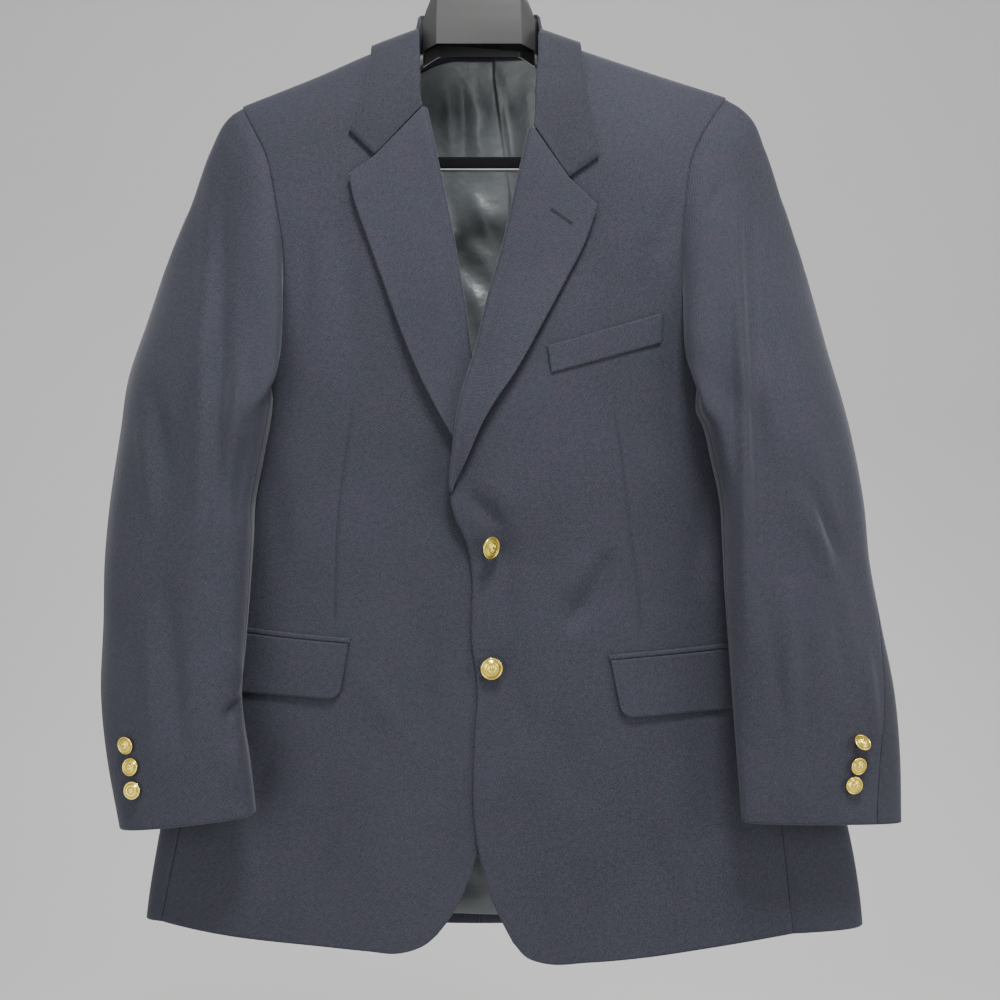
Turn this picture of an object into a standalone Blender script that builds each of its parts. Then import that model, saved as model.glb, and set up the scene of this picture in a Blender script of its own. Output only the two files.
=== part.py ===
"""A single-breasted wool blazer that hangs, buttoned, on a moulded hanger.

Metres. +Z is up, the front faces -Y, and +X is the wearer's left. The origin is the inside of
the top of the hook, where a rod or wall hook carries the hanger.

The cloth is cut as a tailor cuts it: two fronts, two side bodies, a back in two halves, two-piece
sleeves, collar fall and stand, lapels, flaps, jets and a breast welt. The body pieces share one
form: round it runs an angle from the centre front (0) over the side (90 degrees) to the centre back
(180 degrees), and every piece is a patch of that form between its own seams, made a wall thick.
"""

import math

import bmesh
import bpy
import numpy as np
from mathutils import Matrix, Vector

# ---------------------------------------------------------------- driving sizes
CLOTH = 0.0022  # wool with its canvas
TRIM = 0.0016  # welt and jets, pressed flat
LINING = 0.0010
LINING_EASE = 0.0030  # between the back and its lining
SEAM = 0.00040  # left between two pieces where they are sewn
SLEEVE_SEAM = 0.0006  # the same along the sleeves, which bend more
LIFT = 0.0006  # left under a piece that lies on another
CORNER_POWER = 3.0  # how square the form's cross-section is: 2 is an ellipse
SHOULDER_ROUND = 0.140  # drop below the shoulder line at which the form has its full depth
SHOULDER_LEAN = 0.016  # how far forward the shoulder points sit on a contoured hanger

# The form: height, half width of the wearer's left and right, depth to the front and the back
FORM = (
    (-1.020, 0.358, 0.312, 0.052, 0.040),
    (-0.965, 0.356, 0.309, 0.052, 0.040),
    (-0.880, 0.343, 0.296, 0.053, 0.041),
    (-0.750, 0.300, 0.268, 0.056, 0.043),
    (-0.620, 0.262, 0.244, 0.059, 0.045),
    (-0.520, 0.236, 0.226, 0.061, 0.046),
    (-0.450, 0.226, 0.218, 0.061, 0.047),
    (-0.350, 0.232, 0.225, 0.059, 0.047),
    (-0.250, 0.240, 0.232, 0.055, 0.046),
    (-0.100, 0.246, 0.238, 0.050, 0.044),
)
# Height of the shoulder line by distance from the centre, wearer's left and right
SHOULDER = {
    1: ((0.000, -0.129), (0.020, -0.130), (0.050, -0.141), (0.093, -0.1565), (0.176, -0.186),
        (0.228, -0.2045), (0.27, -0.222)),
    -1: ((0.000, -0.129), (0.020, -0.130), (0.050, -0.141), (0.100, -0.1605), (0.156, -0.186),
         (0.183, -0.1975), (0.218, -0.2125), (0.26, -0.233)),
}
# Soft folds in the fronts: from x, z to x, z, half width, height (minus is a trough)
FRONT_FOLDS = (
    (0.078, -0.692, 0.114, -0.645, 0.016, -0.0030),
    (-0.010, -0.575, 0.030, -0.635, 0.014, -0.0030),
    (0.020, -0.640, 0.032, -0.820, 0.018, -0.0022),
    (0.110, -0.270, 0.095, -0.430, 0.020, -0.0035),
    (-0.100, -0.780, -0.075, -0.960, 0.035, 0.0025),
    (0.175, -0.800, 0.190, -0.960, 0.035, 0.0030),
)
BACK_FOLDS = (
    (0.090, -0.330, 0.060, -0.560, 0.030, 0.0030),
    (-0.100, -0.340, -0.065, -0.600, 0.032, 0.0030),
    (0.120, -0.640, 0.150, -0.950, 0.035, 0.0030),
    (-0.115, -0.660, -0.140, -0.950, 0.035, 0.0030),
)

# Front edges, cutaway and roll line of each front: x by height, from the hem corner to the gorge
FRONT_EDGE = {
    1: ((-0.972, 0.031), (-0.953, 0.021), (-0.938, 0.014), (-0.907, 0.004), (-0.884, -0.001),
        (-0.858, -0.004),
        (-0.800, -0.004), (-0.741, -0.001), (-0.700, -0.006), (-0.640, -0.006), (-0.612, -0.011),
        (-0.590, -0.021), (-0.568, -0.0256), (-0.535, -0.0235), (-0.487, -0.0166), (-0.443, -0.0034),
        (-0.398, 0.007), (-0.347, 0.0213), (-0.295, 0.033), (-0.2414, 0.045)),
    -1: ((-0.966, -0.037), (-0.952, -0.026), (-0.930, -0.014), (-0.900, -0.003), (-0.870, 0.008),
         (-0.830, 0.018),
         (-0.780, 0.024), (-0.700, 0.026), (-0.566, 0.024), (-0.500, 0.009), (-0.442, -0.0056),
          (-0.408, -0.010),
         (-0.369, -0.0164), (-0.336, -0.0222), (-0.296, -0.0302), (-0.2585, -0.0381), (-0.2227, -0.0454)),
}
NECK_SEAM = {1: ((-0.2414, 0.045), (-0.195, 0.061), (-0.1515, 0.080)),
             -1: ((-0.2227, -0.0454), (-0.190, -0.060), (-0.1525, -0.080))}
NECK_X = 0.080
BACK_NECK_Z = -0.158
# Hem of each front from the hem corner to the side-body seam: x, z
FRONT_HEM = {
    1: ((0.031, -0.972), (0.044, -0.986), (0.058, -0.991), (0.102, -0.991), (0.150, -0.987),
        (0.202, -0.980),
        (0.285, -0.968)),
    -1: ((-0.037, -0.966), (-0.0475, -0.975), (-0.0585, -0.980), (-0.072, -0.983), (-0.100, -0.981),
         (-0.142, -0.977),
         (-0.228, -0.969), (-0.290, -0.960)),
}
BACK_HEM_SIDE_Z = -0.968
BACK_HEM_Z = -0.9805
# Seam of front and side body: x by height below the armhole; seam of side body and back likewise
FRONT_SIDE_SEAM = {1: ((-0.968, 0.285), (-0.820, 0.268), (-0.700, 0.246), (-0.560, 0.222), (-0.470, 0.211)),
                   -1: ((-0.960, -0.290), (-0.820, -0.262), (-0.700, -0.240), (-0.560, -0.215),
                        (-0.470, -0.204))}
BACK_SIDE_SEAM = {1: ((-0.968, 0.285), (-0.820, 0.258), (-0.700, 0.232), (-0.560, 0.208), (-0.470, 0.200)),
                  -1: ((-0.968, -0.240), (-0.820, -0.228), (-0.700, -0.214), (-0.560, -0.200),
                       (-0.470, -0.193))}
VENT_TOP_Z = -0.770  # the side vents open below this
VENT_DEPTH = 0.0046  # how far inside the back the side body runs there
VENT_UNDERLAP = 0.11  # radians of the form that run on under the back
# Armhole from the shoulder point down to the underarm, as x and z; the underarm is at the form's side
ARMHOLE_FRONT = {
    1: ((0.228, -0.2045), (0.2144, -0.2250), (0.1950, -0.2600), (0.1850, -0.3120), (0.1826, -0.3650),
        (0.1880, -0.4050), (0.2090, -0.4400)),
    -1: ((-0.218, -0.2125), (-0.2080, -0.2320), (-0.1935, -0.2600), (-0.1815, -0.3100), (-0.1745, -0.3650),
         (-0.1790, -0.4050), (-0.2020, -0.4400)),
}
ARMHOLE_BACK = {
    1: ((0.228, -0.2045), (0.2180, -0.2300), (0.2060, -0.2700), (0.1980, -0.3200), (0.1950, -0.3700),
        (0.1960, -0.4100), (0.2080, -0.4400)),
    -1: ((-0.218, -0.2125), (-0.2120, -0.2350), (-0.2010, -0.2700), (-0.1930, -0.3200), (-0.1890, -0.3700),
         (-0.1900, -0.4100), (-0.2020, -0.4400)),
}
UNDERARM_Z = -0.4560

# Sleeves from the armhole to the cuff: x, y, z of the outer edge; x, y, z of the inner edge; half depth
SLEEVE = {
    1: (
        (0.2280, -0.016, -0.2045, 0.2262, 0.000, -0.4560, 0.0500),
        (0.2475, -0.016, -0.2200, 0.2180, -0.006, -0.4600, 0.0530),
        (0.2630, -0.014, -0.2500, 0.2060, -0.020, -0.4680, 0.0560),
        (0.2815, -0.010, -0.3000, 0.1960, -0.040, -0.4800, 0.0580),
        (0.2990, -0.006, -0.3500, 0.1950, -0.050, -0.4960, 0.0580),
        (0.3139, -0.004, -0.4000, 0.2018, -0.055, -0.5110, 0.0570),
        (0.3285, -0.004, -0.4570, 0.2085, -0.060, -0.5400, 0.0550),
        (0.3414, -0.012, -0.5110, 0.2153, -0.065, -0.5750, 0.0520),
        (0.3515, -0.022, -0.5750, 0.2170, -0.069, -0.6120, 0.0480),
        (0.3554, -0.030, -0.6300, 0.2185, -0.073, -0.6550, 0.0430),
        (0.3640, -0.037, -0.6840, 0.2210, -0.077, -0.7000, 0.0370),
        (0.3751, -0.045, -0.7480, 0.2240, -0.083, -0.7560, 0.0290),
        (0.3785, -0.052, -0.8020, 0.2270, -0.088, -0.8060, 0.0210),
        (0.3791, -0.055, -0.8635, 0.2306, -0.090, -0.8560, 0.0150),
    ),
    -1: (
        (-0.2180, -0.016, -0.2125, -0.2192, 0.000, -0.4560, 0.0500),
        (-0.2310, -0.016, -0.2240, -0.2110, -0.006, -0.4600, 0.0530),
        (-0.2459, -0.014, -0.2500, -0.1980, -0.020, -0.4680, 0.0560),
        (-0.2661, -0.010, -0.3000, -0.1880, -0.040, -0.4800, 0.0580),
        (-0.2876, -0.006, -0.3500, -0.1850, -0.050, -0.4960, 0.0580),
        (-0.3051, -0.004, -0.4000, -0.1871, -0.055, -0.5110, 0.0570),
        (-0.3227, -0.004, -0.4570, -0.1925, -0.060, -0.5400, 0.0550),
        (-0.3289, -0.012, -0.5110, -0.1986, -0.065, -0.5750, 0.0520),
        (-0.3362, -0.022, -0.5750, -0.1998, -0.069, -0.6120, 0.0490),
        (-0.3395, -0.030, -0.6300, -0.2020, -0.073, -0.6550, 0.0450),
        (-0.3390, -0.037, -0.6840, -0.2048, -0.077, -0.7000, 0.0410),
        (-0.3395, -0.045, -0.7480, -0.2074, -0.083, -0.7520, 0.0370),
        (-0.3330, -0.052, -0.8020, -0.1993, -0.088, -0.8020, 0.0330),
        (-0.3200, -0.057, -0.8680, -0.1936, -0.090, -0.8480, 0.0290),
    ),
}
# Seams of the sleeve as angles round it (0 outer, 90 front, 180 inner, 270 back) at the armhole and the cuff
FORESEAM = {1: (162.0, 180.0), -1: (162.0, 180.0)}
HINDSEAM = {1: (-64.8, 52.0), -1: (-64.8, 10.0)}
# Long soft folds: angle at the top and the cuff, height, angular half width, heights where it starts and ends
SLEEVE_FOLDS = {
    1: ((150.0, 128.0, 0.0035, 15.0, -0.25, -0.80), (118.0, 108.0, -0.0045, 13.0, -0.28, -0.74),
        (60.0, 40.0, -0.0030, 15.0, -0.48, -0.76), (84.0, 72.0, 0.0025, 14.0, -0.42, -0.74)),
    -1: ((92.0, 84.0, -0.0040, 16.0, -0.28, -0.70), (124.0, 110.0, 0.0030, 15.0, -0.34, -0.80),
         (48.0, 46.0, 0.0025, 15.0, -0.44, -0.80)),
}

# Roll line of the collar from the gorge to the centre back, as x, y, z of the wearer's left and right
COLLAR_FOLD = {
    1: ((0.0452, -0.0560, -0.2414), (0.0485, -0.0420, -0.2089), (0.0548, -0.0210, -0.1700),
        (0.0572, -0.0020, -0.1310),
        (0.0552, 0.0170, -0.1170), (0.0400, 0.0330, -0.1150), (0.0, 0.0390, -0.1150)),
    -1: ((-0.0454, -0.0560, -0.2227), (-0.0484, -0.0420, -0.2050), (-0.0548, -0.0210, -0.1660),
         (-0.0572, -0.0020, -0.1300), (-0.0560, 0.0170, -0.1180), (-0.0400, 0.0330, -0.1150),
          (0.0, 0.0390, -0.1150)),
}
NOTCH = {1: (0.0814, -0.2874), -1: (-0.0926, -0.2674)}
COLLAR_TIP = {1: (0.1083, -0.2679), -1: (-0.1157, -0.2440)}
COLLAR_EDGE_FRONT = {1: ((0.1083, -0.2679), (0.0997, -0.2327), (0.0955, -0.1996), (0.0940, -0.1720)),
                     -1: ((-0.1157, -0.2440), (-0.1066, -0.2136), (-0.1005, -0.1863), (-0.0985, -0.1740))}
COLLAR_RIDGE = {1: (0.0938, -0.1530), -1: (-0.0990, -0.1562)}
COLLAR_EDGE_BACK = ((0.0900, -0.1660), (0.0680, -0.1730), (0.0360, -0.1750), (0.0, -0.1750))
LAPEL_EDGE = {
    1: ((-0.0205, -0.562), (-0.0096, -0.5362), (0.0045, -0.5044), (0.0301, -0.4647), (0.0469, -0.4352),
        (0.0763, -0.3818), (0.0998, -0.3327), (0.1062, -0.3117)),
    -1: ((0.0190, -0.560), (-0.0010, -0.5400), (-0.0216, -0.5183), (-0.0301, -0.5041), (-0.0470, -0.4730),
         (-0.0659, -0.4305), (-0.0860, -0.3773), (-0.0975, -0.3454), (-0.1117, -0.3037),
          (-0.1152, -0.2851)),
}
BREAK_Z = {1: -0.568, -1: -0.566}  # where the roll line starts
ROLL_AT_BREAK, ROLL_ABOVE = 0.0030, 0.0048  # outer radius of the rolled edge
ROLL_GAP = 0.0014  # between the front's cut edge and the cloth that turns there
EDGE_LIFT = 0.0045  # of the outer face of the lapels and the collar along their outer edge

# Pockets: inner end x, outer end x, top z at both ends, flap depth at both ends
FLAP = {1: (0.1180, 0.2600, -0.7133, -0.6985, 0.052, 0.053),
-1: (-0.1160, -0.2440, -0.6985, -0.6835, 0.050, 0.055)}
FLAP_CORNER, FLAP_LEAN, FLAP_LIFT = 0.010, 0.0025, 0.0007
JET_HEIGHT = 0.0046
WELT = ((0.0648, -0.4621), (0.1634, -0.4350), (0.1642, -0.4080), (0.0612, -0.4378))

# Buttons: x, z, turn to the side and tilt upwards in degrees; front ones also the gap under the shank
FRONT_BUTTON_R, CUFF_BUTTON_R = 0.0100, 0.0077
FRONT_BUTTONS = {"upper": (0.0112, -0.6154, -40.0, 8.0, 0.0017),
"lower": (0.0104, -0.7228, -14.0, 8.0, 0.0005)}
CUFF_BUTTONS = {
    1: {"top": (0.3345, -0.7905, 24.0, -40.0), "middle": (0.3320, -0.8070, 22.0, 8.0),
        "low": (0.3282, -0.8248, 12.0, 6.0)},
    -1: {"top": (-0.3055, -0.7880, -24.0, 6.0), "middle": (-0.3015, -0.8085, -22.0, -10.0),
         "low": (-0.2992, -0.8295, -14.0, -6.0)},
}

# Hanger: distance from the centre, top, underside, half thickness of its neck; the arms follow the shoulder
HANGER_NECK = ((0.0, -0.0700, -0.1600, 0.0195), (0.012, -0.0712, -0.1600, 0.0195),
               (0.024, -0.0840, -0.1600, 0.0195),
               (0.034, -0.0980, -0.1600, 0.0195), (0.0380, -0.1050, -0.1600, 0.0190),
                (0.0425, -0.1140, -0.1626, 0.0175),
               (0.0465, -0.1220, -0.1655, 0.0145), (0.0488, -0.1340, -0.1670, 0.0125),
                (0.0496, -0.1580, -0.1720, 0.0078))
HANGER_ARM = ((0.060, 0.0180, 0.0070), (0.080, 0.0240, 0.0115), (0.110, 0.0270, 0.0145),
              (0.145, 0.0270, 0.0135),
              (0.175, 0.0250, 0.0115), (0.192, 0.0220, 0.0095), (0.199, 0.0140, 0.0060))
NECK_FORWARD = 0.0030  # the neck stands this far in front of the arms' line, clear of the collar stand
ARM_CLEARANCE = 0.0078  # from the shoulder line to the top of the arm
BAR_X, BAR_Y, BAR_Z, BAR_HEIGHT, BAR_DEPTH, BAR_BEND = 0.180, -0.008, -0.2638, 0.0125, 0.0100, 0.020
HOOK_WIRE_R, HOOK_RING_R = 0.0023, 0.0223

NAVY, DARK_LINING = (0.018, 0.022, 0.036), (0.050, 0.056, 0.060)
HANGER_GREY, VELVET = (0.090, 0.090, 0.088), (0.004, 0.004, 0.005)
CHROME, BRASS = (0.60, 0.60, 0.60), (0.80, 0.58, 0.20)


# ---------------------------------------------------------------- small tools
def ease(t):
    t = np.clip(t, 0.0, 1.0)
    return t * t * (3.0 - 2.0 * t)


def through(knots, values, at):
    """A smooth curve through values at rising knots, by cubic pieces with averaged slopes."""
    knots, values, at = np.asarray(knots, float), np.asarray(values, float), np.asarray(at, float)
    slopes = np.gradient(values, knots, axis=0)
    at = np.clip(at, knots[0], knots[-1])
    i = np.clip(np.searchsorted(knots, at, side="right") - 1, 0, len(knots) - 2)
    step = knots[i + 1] - knots[i]
    t = (at - knots[i]) / step
    if values.ndim > 1:
        t, step = t[..., None], step[..., None]
    return (
        (2 * t**3 - 3 * t**2 + 1) * values[i]
        + (t**3 - 2 * t**2 + t) * step * slopes[i]
        + (3 * t**2 - 2 * t**3) * values[i + 1]
        + (t**3 - t**2) * step * slopes[i + 1]
    )


def along(points, fractions):
    """Points at these fractions of the length of a smooth curve through the given points."""
    points = np.asarray(points, float)
    chord = np.concatenate([[0.0], np.cumsum(np.linalg.norm(np.diff(points, axis=0), axis=1))])
    return through(chord / chord[-1], points, fractions)


def unit(v):
    return v / np.linalg.norm(v, axis=-1, keepdims=True)


def fold_height(folds, x, z):
    """Sum of soft folds: each a bell across its line that fades out at its two ends."""
    total = np.zeros(np.broadcast(x, z).shape)
    for x0, z0, x1, z1, width, height in folds:
        run = np.array([x1 - x0, z1 - z0])
        length = np.linalg.norm(run)
        t = ((x - x0) * run[0] + (z - z0) * run[1]) / length**2
        across = ((x - x0) * run[1] - (z - z0) * run[0]) / length
        ends = np.sin(np.pi * np.clip(t, 0.0, 1.0)) ** 0.8
        total = total + height * np.exp(-((across / width) ** 2)) * ends
    return total


# ---------------------------------------------------------------- the body's form
def form_row(column, z):
    rows = np.array(FORM)
    return through(rows[:, 0], rows[:, column], z)


def half_width(z, side):
    return form_row(1 if side > 0 else 2, z)


def shoulder_z(x, side):
    rows = np.array(SHOULDER[side])
    return through(rows[:, 0], rows[:, 1], np.abs(x))


def closing_lift(x, z):
    """The wearer's left front stands over the right one, most where it covers the right lapel."""
    over_lapel = ease((z + 0.640) / 0.060) * ease((-0.360 - z) / 0.080)
    below = ease((-0.420 - z) / 0.080)
    return (0.0034 * below + 0.0086 * over_lapel) * ease((0.105 - x) / 0.085)


def body(angle, z, side):
    """A point of the form at an angle round the body and a height."""
    s, c = np.sin(angle), np.cos(angle)
    n = (np.abs(s) ** CORNER_POWER + np.abs(c) ** CORNER_POWER) ** (1 / CORNER_POWER)
    x = side * half_width(z, side) * s / n
    face = c / n
    drop = np.clip((shoulder_z(x, side) - z) / SHOULDER_ROUND, 0.0, 1.0)
    cap = np.sqrt(1.0 - (1.0 - drop) ** 2)
    lean = -SHOULDER_LEAN * (x / 0.23) ** 2 * ease((z + 0.62) / 0.25)
    front = form_row(3, z) * cap + fold_height(FRONT_FOLDS, x, z) * ease(drop * 3)
    back = form_row(4, z) * cap + fold_height(BACK_FOLDS, x, z) * ease(drop * 3)
    y = lean - np.where(face > 0, face * front, face * back)
    if side > 0:
        y = y - closing_lift(x, z) * ease(face * 2)
    return np.stack([x, y, np.broadcast_to(z, x.shape)], axis=-1)


def body_normal(angle, z, side):
    """Outward normal of the form, from small steps; level with the seam along the shoulder line."""
    step = 1e-3
    z = np.asarray(z, float)
    x = body(angle, z, side)[..., 0]
    lower = np.minimum(z, shoulder_z(x, side) - 0.0012)
    round_it = body(angle + step, lower, side) - body(angle - step, lower, side)
    up = body(angle, lower + step, side) - body(angle, lower - step, side)
    normal = unit(np.cross(up, round_it) * -side)
    on_line = shoulder_z(x, side) - z < 0.0008
    normal[on_line, 1] = 0.0
    return unit(normal)


def angle_of(x, z, side, back=False):
    """The angle at which the form has this x at this height."""
    share = np.clip(np.abs(x) / half_width(z, side), 0.0, 0.9995) ** CORNER_POWER
    angle = np.arctan((share / (1.0 - share)) ** (1 / CORNER_POWER)) * np.sign(np.asarray(x) * side)
    return math.pi - angle if back else angle


def raised(x, z, side, lift, back=False):
    """Points of the form at x, z moved out along its normal."""
    x, z = np.broadcast_arrays(np.asarray(x, float), np.asarray(z, float))
    angle = angle_of(x, z, side, back)
    return body(angle, z, side) + body_normal(angle, z, side) * np.asarray(lift)[..., None]


# ---------------------------------------------------------------- meshes
def material(name, colour, roughness, metallic=0.0):
    made = bpy.data.materials.get(name) or bpy.data.materials.new(name)
    made.use_nodes = True
    shader = made.node_tree.nodes["Principled BSDF"]
    shader.inputs["Base Color"].default_value = (*colour, 1.0)
    shader.inputs["Roughness"].default_value = roughness
    shader.inputs["Metallic"].default_value = metallic
    return made


def add_object(name, data, finish):
    obj = bpy.data.objects.new(name, data)
    bpy.context.scene.collection.objects.link(obj)
    data.materials.append(finish)
    return obj


def solid(name, vertices, faces, finish, sharp=40.0):
    mesh = bpy.data.meshes.new(name)
    mesh.from_pydata([tuple(v) for v in vertices], [], faces)
    made = bmesh.new()
    made.from_mesh(mesh)
    bmesh.ops.recalc_face_normals(made, faces=made.faces)
    made.to_mesh(mesh)
    made.free()
    mesh.shade_smooth()
    mesh.set_sharp_from_angle(angle=math.radians(sharp))
    return add_object(name, mesh, finish)


def grid_normals(points, outward):
    """Vertex normals of a grid, turned to the side that the outward vector names."""
    normal = np.cross(np.gradient(points, axis=0), np.gradient(points, axis=1))
    normal = unit(normal + 1e-12)
    return normal * np.sign((normal * outward).sum(axis=-1).mean() or 1.0)


def wall(name, outer, normal, thickness, finish, keep=None):
    """A cloth wall: the outer grid, the same grid moved in, and a rim round the faces that are kept."""
    rows, columns = outer.shape[:2]
    keep = np.ones((rows - 1, columns - 1), bool) if keep is None else keep
    inner = outer - normal * np.asarray(thickness)[..., None] * np.ones((rows, columns, 1))
    count = rows * columns
    vertices = np.concatenate([outer.reshape(-1, 3), inner.reshape(-1, 3)])
    faces, edges = [], {}
    for i, j in zip(*np.nonzero(keep)):
        a, b = i * columns + j, i * columns + j + 1
        c, d = b + columns, a + columns
        faces.append((a, b, c, d))
        faces.append((d + count, c + count, b + count, a + count))
        for start, end in ((a, b), (b, c), (c, d), (d, a)):
            if edges.pop((end, start), None) is None:
                edges[(start, end)] = True
    for start, end in edges:
        faces.append((end, start, start + count, end + count))
    used = sorted({i for face in faces for i in face})
    number = {old: new for new, old in enumerate(used)}
    return solid(name, vertices[used], [[number[i] for i in face] for face in faces], finish)


def patch(bottom, top, left, right):
    """A surface between four edges, each a row of (angle, height) points."""
    u = np.linspace(0.0, 1.0, len(bottom))
    chord = np.concatenate([[0.0], np.cumsum(np.linalg.norm(np.diff(right, axis=0), axis=1))])
    v = (chord / chord[-1])[:, None, None]
    u = u[None, :, None]
    across = left[:, None] * (1 - u) + right[:, None] * u
    upward = bottom[None] * (1 - v) + top[None] * v
    corners = ((bottom[0] * (1 - u) + bottom[-1] * u) * (1 - v) + (top[0] * (1 - u) + top[-1] * u) * v)
    return across + upward - corners


# ---------------------------------------------------------------- armhole
SIDE_SEAM_AT = 0.72  # share of each half of the armhole, from the shoulder, where the side body starts
ARMHOLE_SHARES = (0.0, 0.03, 0.10, 0.18, 0.27, 0.36, 0.45, 0.54, 0.63, SIDE_SEAM_AT)
SIDE_SHARES = (SIDE_SEAM_AT, 0.80, 0.90, 1.0, 1.10, 1.20, 2.0 - SIDE_SEAM_AT)


def armhole(share, side, back):
    """(angle, height) of the armhole from the shoulder (0) to the underarm (1)."""
    points = np.array((ARMHOLE_BACK if back else ARMHOLE_FRONT)[side])
    angle = angle_of(points[:, 0], points[:, 1], side, back)
    pairs = np.column_stack([np.append(angle, math.pi / 2), np.append(points[:, 1], UNDERARM_Z)])
    scaled = pairs * np.array([0.2, 1.0])
    return along(scaled, share) / np.array([0.2, 1.0])


def opened(pairs, width=SEAM):
    """The armhole's edge on the body, a seam's width back from the sleeve."""
    centre = np.array([math.pi / 2, -0.335])
    away = (pairs - centre) * np.array([0.2, 1.0])
    return pairs + unit(away) * width * np.array([1 / 0.2, 1.0])


# ---------------------------------------------------------------- body pieces
SEAM_ROWS = 13


def seam_heights(low):
    return np.linspace(low, -0.470, SEAM_ROWS)


def seam_line(table, side, back, low, shift):
    """A lengthwise seam from the hem up to the armhole, moved sideways by shift metres."""
    rows = np.array(table[side])
    z = seam_heights(low)
    x = through(rows[:, 0], rows[:, 1], z)
    angle = angle_of(x, z, side, back) + shift / half_width(z, side)
    return np.column_stack([angle, z])


def body_wall(name, pairs, side, finish, keep=None, inward=0.0, forward=0.0):
    normal = body_normal(pairs[..., 0], pairs[..., 1], side)
    outer = body(pairs[..., 0], pairs[..., 1], side) - normal * np.asarray(inward)[..., None]
    outer[..., 1] -= forward
    return wall(name, outer, normal, CLOTH, finish, keep)


def below_shoulder(pairs, side):
    limit = shoulder_z(body(pairs[..., 0], pairs[..., 1], side)[..., 0], side)
    return np.stack([pairs[..., 0], np.minimum(pairs[..., 1], limit)], axis=-1)


def roll_radius(z, side):
    return ROLL_AT_BREAK + (ROLL_ABOVE - ROLL_AT_BREAK) * ease((z - BREAK_Z[side]) / 0.12)


FRONT_COLUMNS = 13


def make_front(side, finish):
    hem = np.array(FRONT_HEM[side])
    low = hem[-1, 1]
    seam = seam_line(FRONT_SIDE_SEAM, side, False, low, -SEAM / 2)
    arm = opened(armhole(ARMHOLE_SHARES[::-1], side, False))
    arm[0, 0] -= SEAM / half_width(arm[0, 1], side)
    outer_edge = np.concatenate([seam, arm])
    edge = np.array(FRONT_EDGE[side] + NECK_SEAM[side][1:])
    corner_z, neck_z = edge[0, 0], edge[-1, 0]
    rise = (outer_edge[:, 1] - outer_edge[0, 1]) / (outer_edge[-1, 1] - outer_edge[0, 1])
    count = len(outer_edge)
    low_rows = 4 + int(round((count - 1) * (BREAK_Z[side] - corner_z) / (neck_z - corner_z) * 0.75))
    low_z = corner_z + (BREAK_Z[side] - 0.010 - corner_z) * np.linspace(0.0, 1.0, low_rows) ** 1.25
    top_rise = (rise[low_rows:] - rise[low_rows]) / (1.0 - rise[low_rows])
    inner_z = np.concatenate([low_z, BREAK_Z[side] + 0.002 + (neck_z - BREAK_Z[side] - 0.002) * top_rise])
    inner_x = through(edge[:, 0], edge[:, 1], inner_z)
    above_break = ease((inner_z - BREAK_Z[side] + 0.006) / 0.008)
    inner_x = inner_x + side * (roll_radius(inner_z, side) + ROLL_GAP) * above_break
    inner_edge = np.column_stack([angle_of(inner_x, inner_z, side), inner_z])
    u = np.linspace(0.0, 1.0, FRONT_COLUMNS)
    bottom_xz = along(hem, u)
    bottom = np.column_stack([angle_of(bottom_xz[:, 0], bottom_xz[:, 1], side), bottom_xz[:, 1]])
    bottom[-1], bottom[0] = outer_edge[0], inner_edge[0]
    top_x = np.linspace(inner_x[-1], ARMHOLE_FRONT[side][0][0] - side * SEAM, FRONT_COLUMNS)
    top_z = shoulder_z(top_x, side)
    top = np.column_stack([angle_of(top_x, top_z, side), top_z])
    inner_edge[-1], outer_edge[-1] = top[0], top[-1]
    pairs = patch(bottom, top, inner_edge, outer_edge)
    name = "front_left" if side > 0 else "front_right"
    return body_wall(name, below_shoulder(pairs, side), side, finish, forward=SEAM / 2)


def make_side_body(side, finish):
    """From the front seam to the back seam, with an underlap that runs on under the back at the vent."""
    front_edge = seam_line(FRONT_SIDE_SEAM, side, False, FRONT_HEM[side][-1][1], SEAM / 2)
    back_edge = seam_line(BACK_SIDE_SEAM, side, True, BACK_HEM_SIDE_Z, -SEAM / 2)
    arm = np.array([armhole(min(t, 2.0 - t), side, t > 1.0) for t in SIDE_SHARES])
    arm = opened(arm, 2.2 * SEAM)
    arm[0, 0] += SEAM / half_width(arm[0, 1], side)
    arm[-1, 0] -= SEAM / half_width(arm[-1, 1], side)
    columns = len(SIDE_SHARES)
    u = np.linspace(0.0, 1.0, columns)[None, :, None]
    lower = front_edge[:, None] * (1 - u) + back_edge[:, None] * u
    pairs = np.concatenate([lower, arm[None]])
    lap = pairs[:, -1:] + np.array([VENT_UNDERLAP, 0.0])
    pairs = np.concatenate([pairs, lap], axis=1)
    keep = np.ones((len(pairs) - 1, pairs.shape[1] - 1), bool)
    keep[pairs[1:, -1, 1] > VENT_TOP_Z, -1] = False
    inward = np.zeros(pairs.shape[:2])
    inward[pairs[:, -1, 1] < VENT_TOP_Z, -2:] = VENT_DEPTH
    name = "side_body_left" if side > 0 else "side_body_right"
    return body_wall(name, pairs, side, finish, keep=keep, inward=inward)


BACK_COLUMNS = 9


def back_neck_z(x, side):
    """Height of the seam between the back and the collar."""
    return BACK_NECK_Z + (shoulder_z(side * NECK_X, side) - BACK_NECK_Z) * (np.abs(x) / NECK_X) ** 2.6


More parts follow.
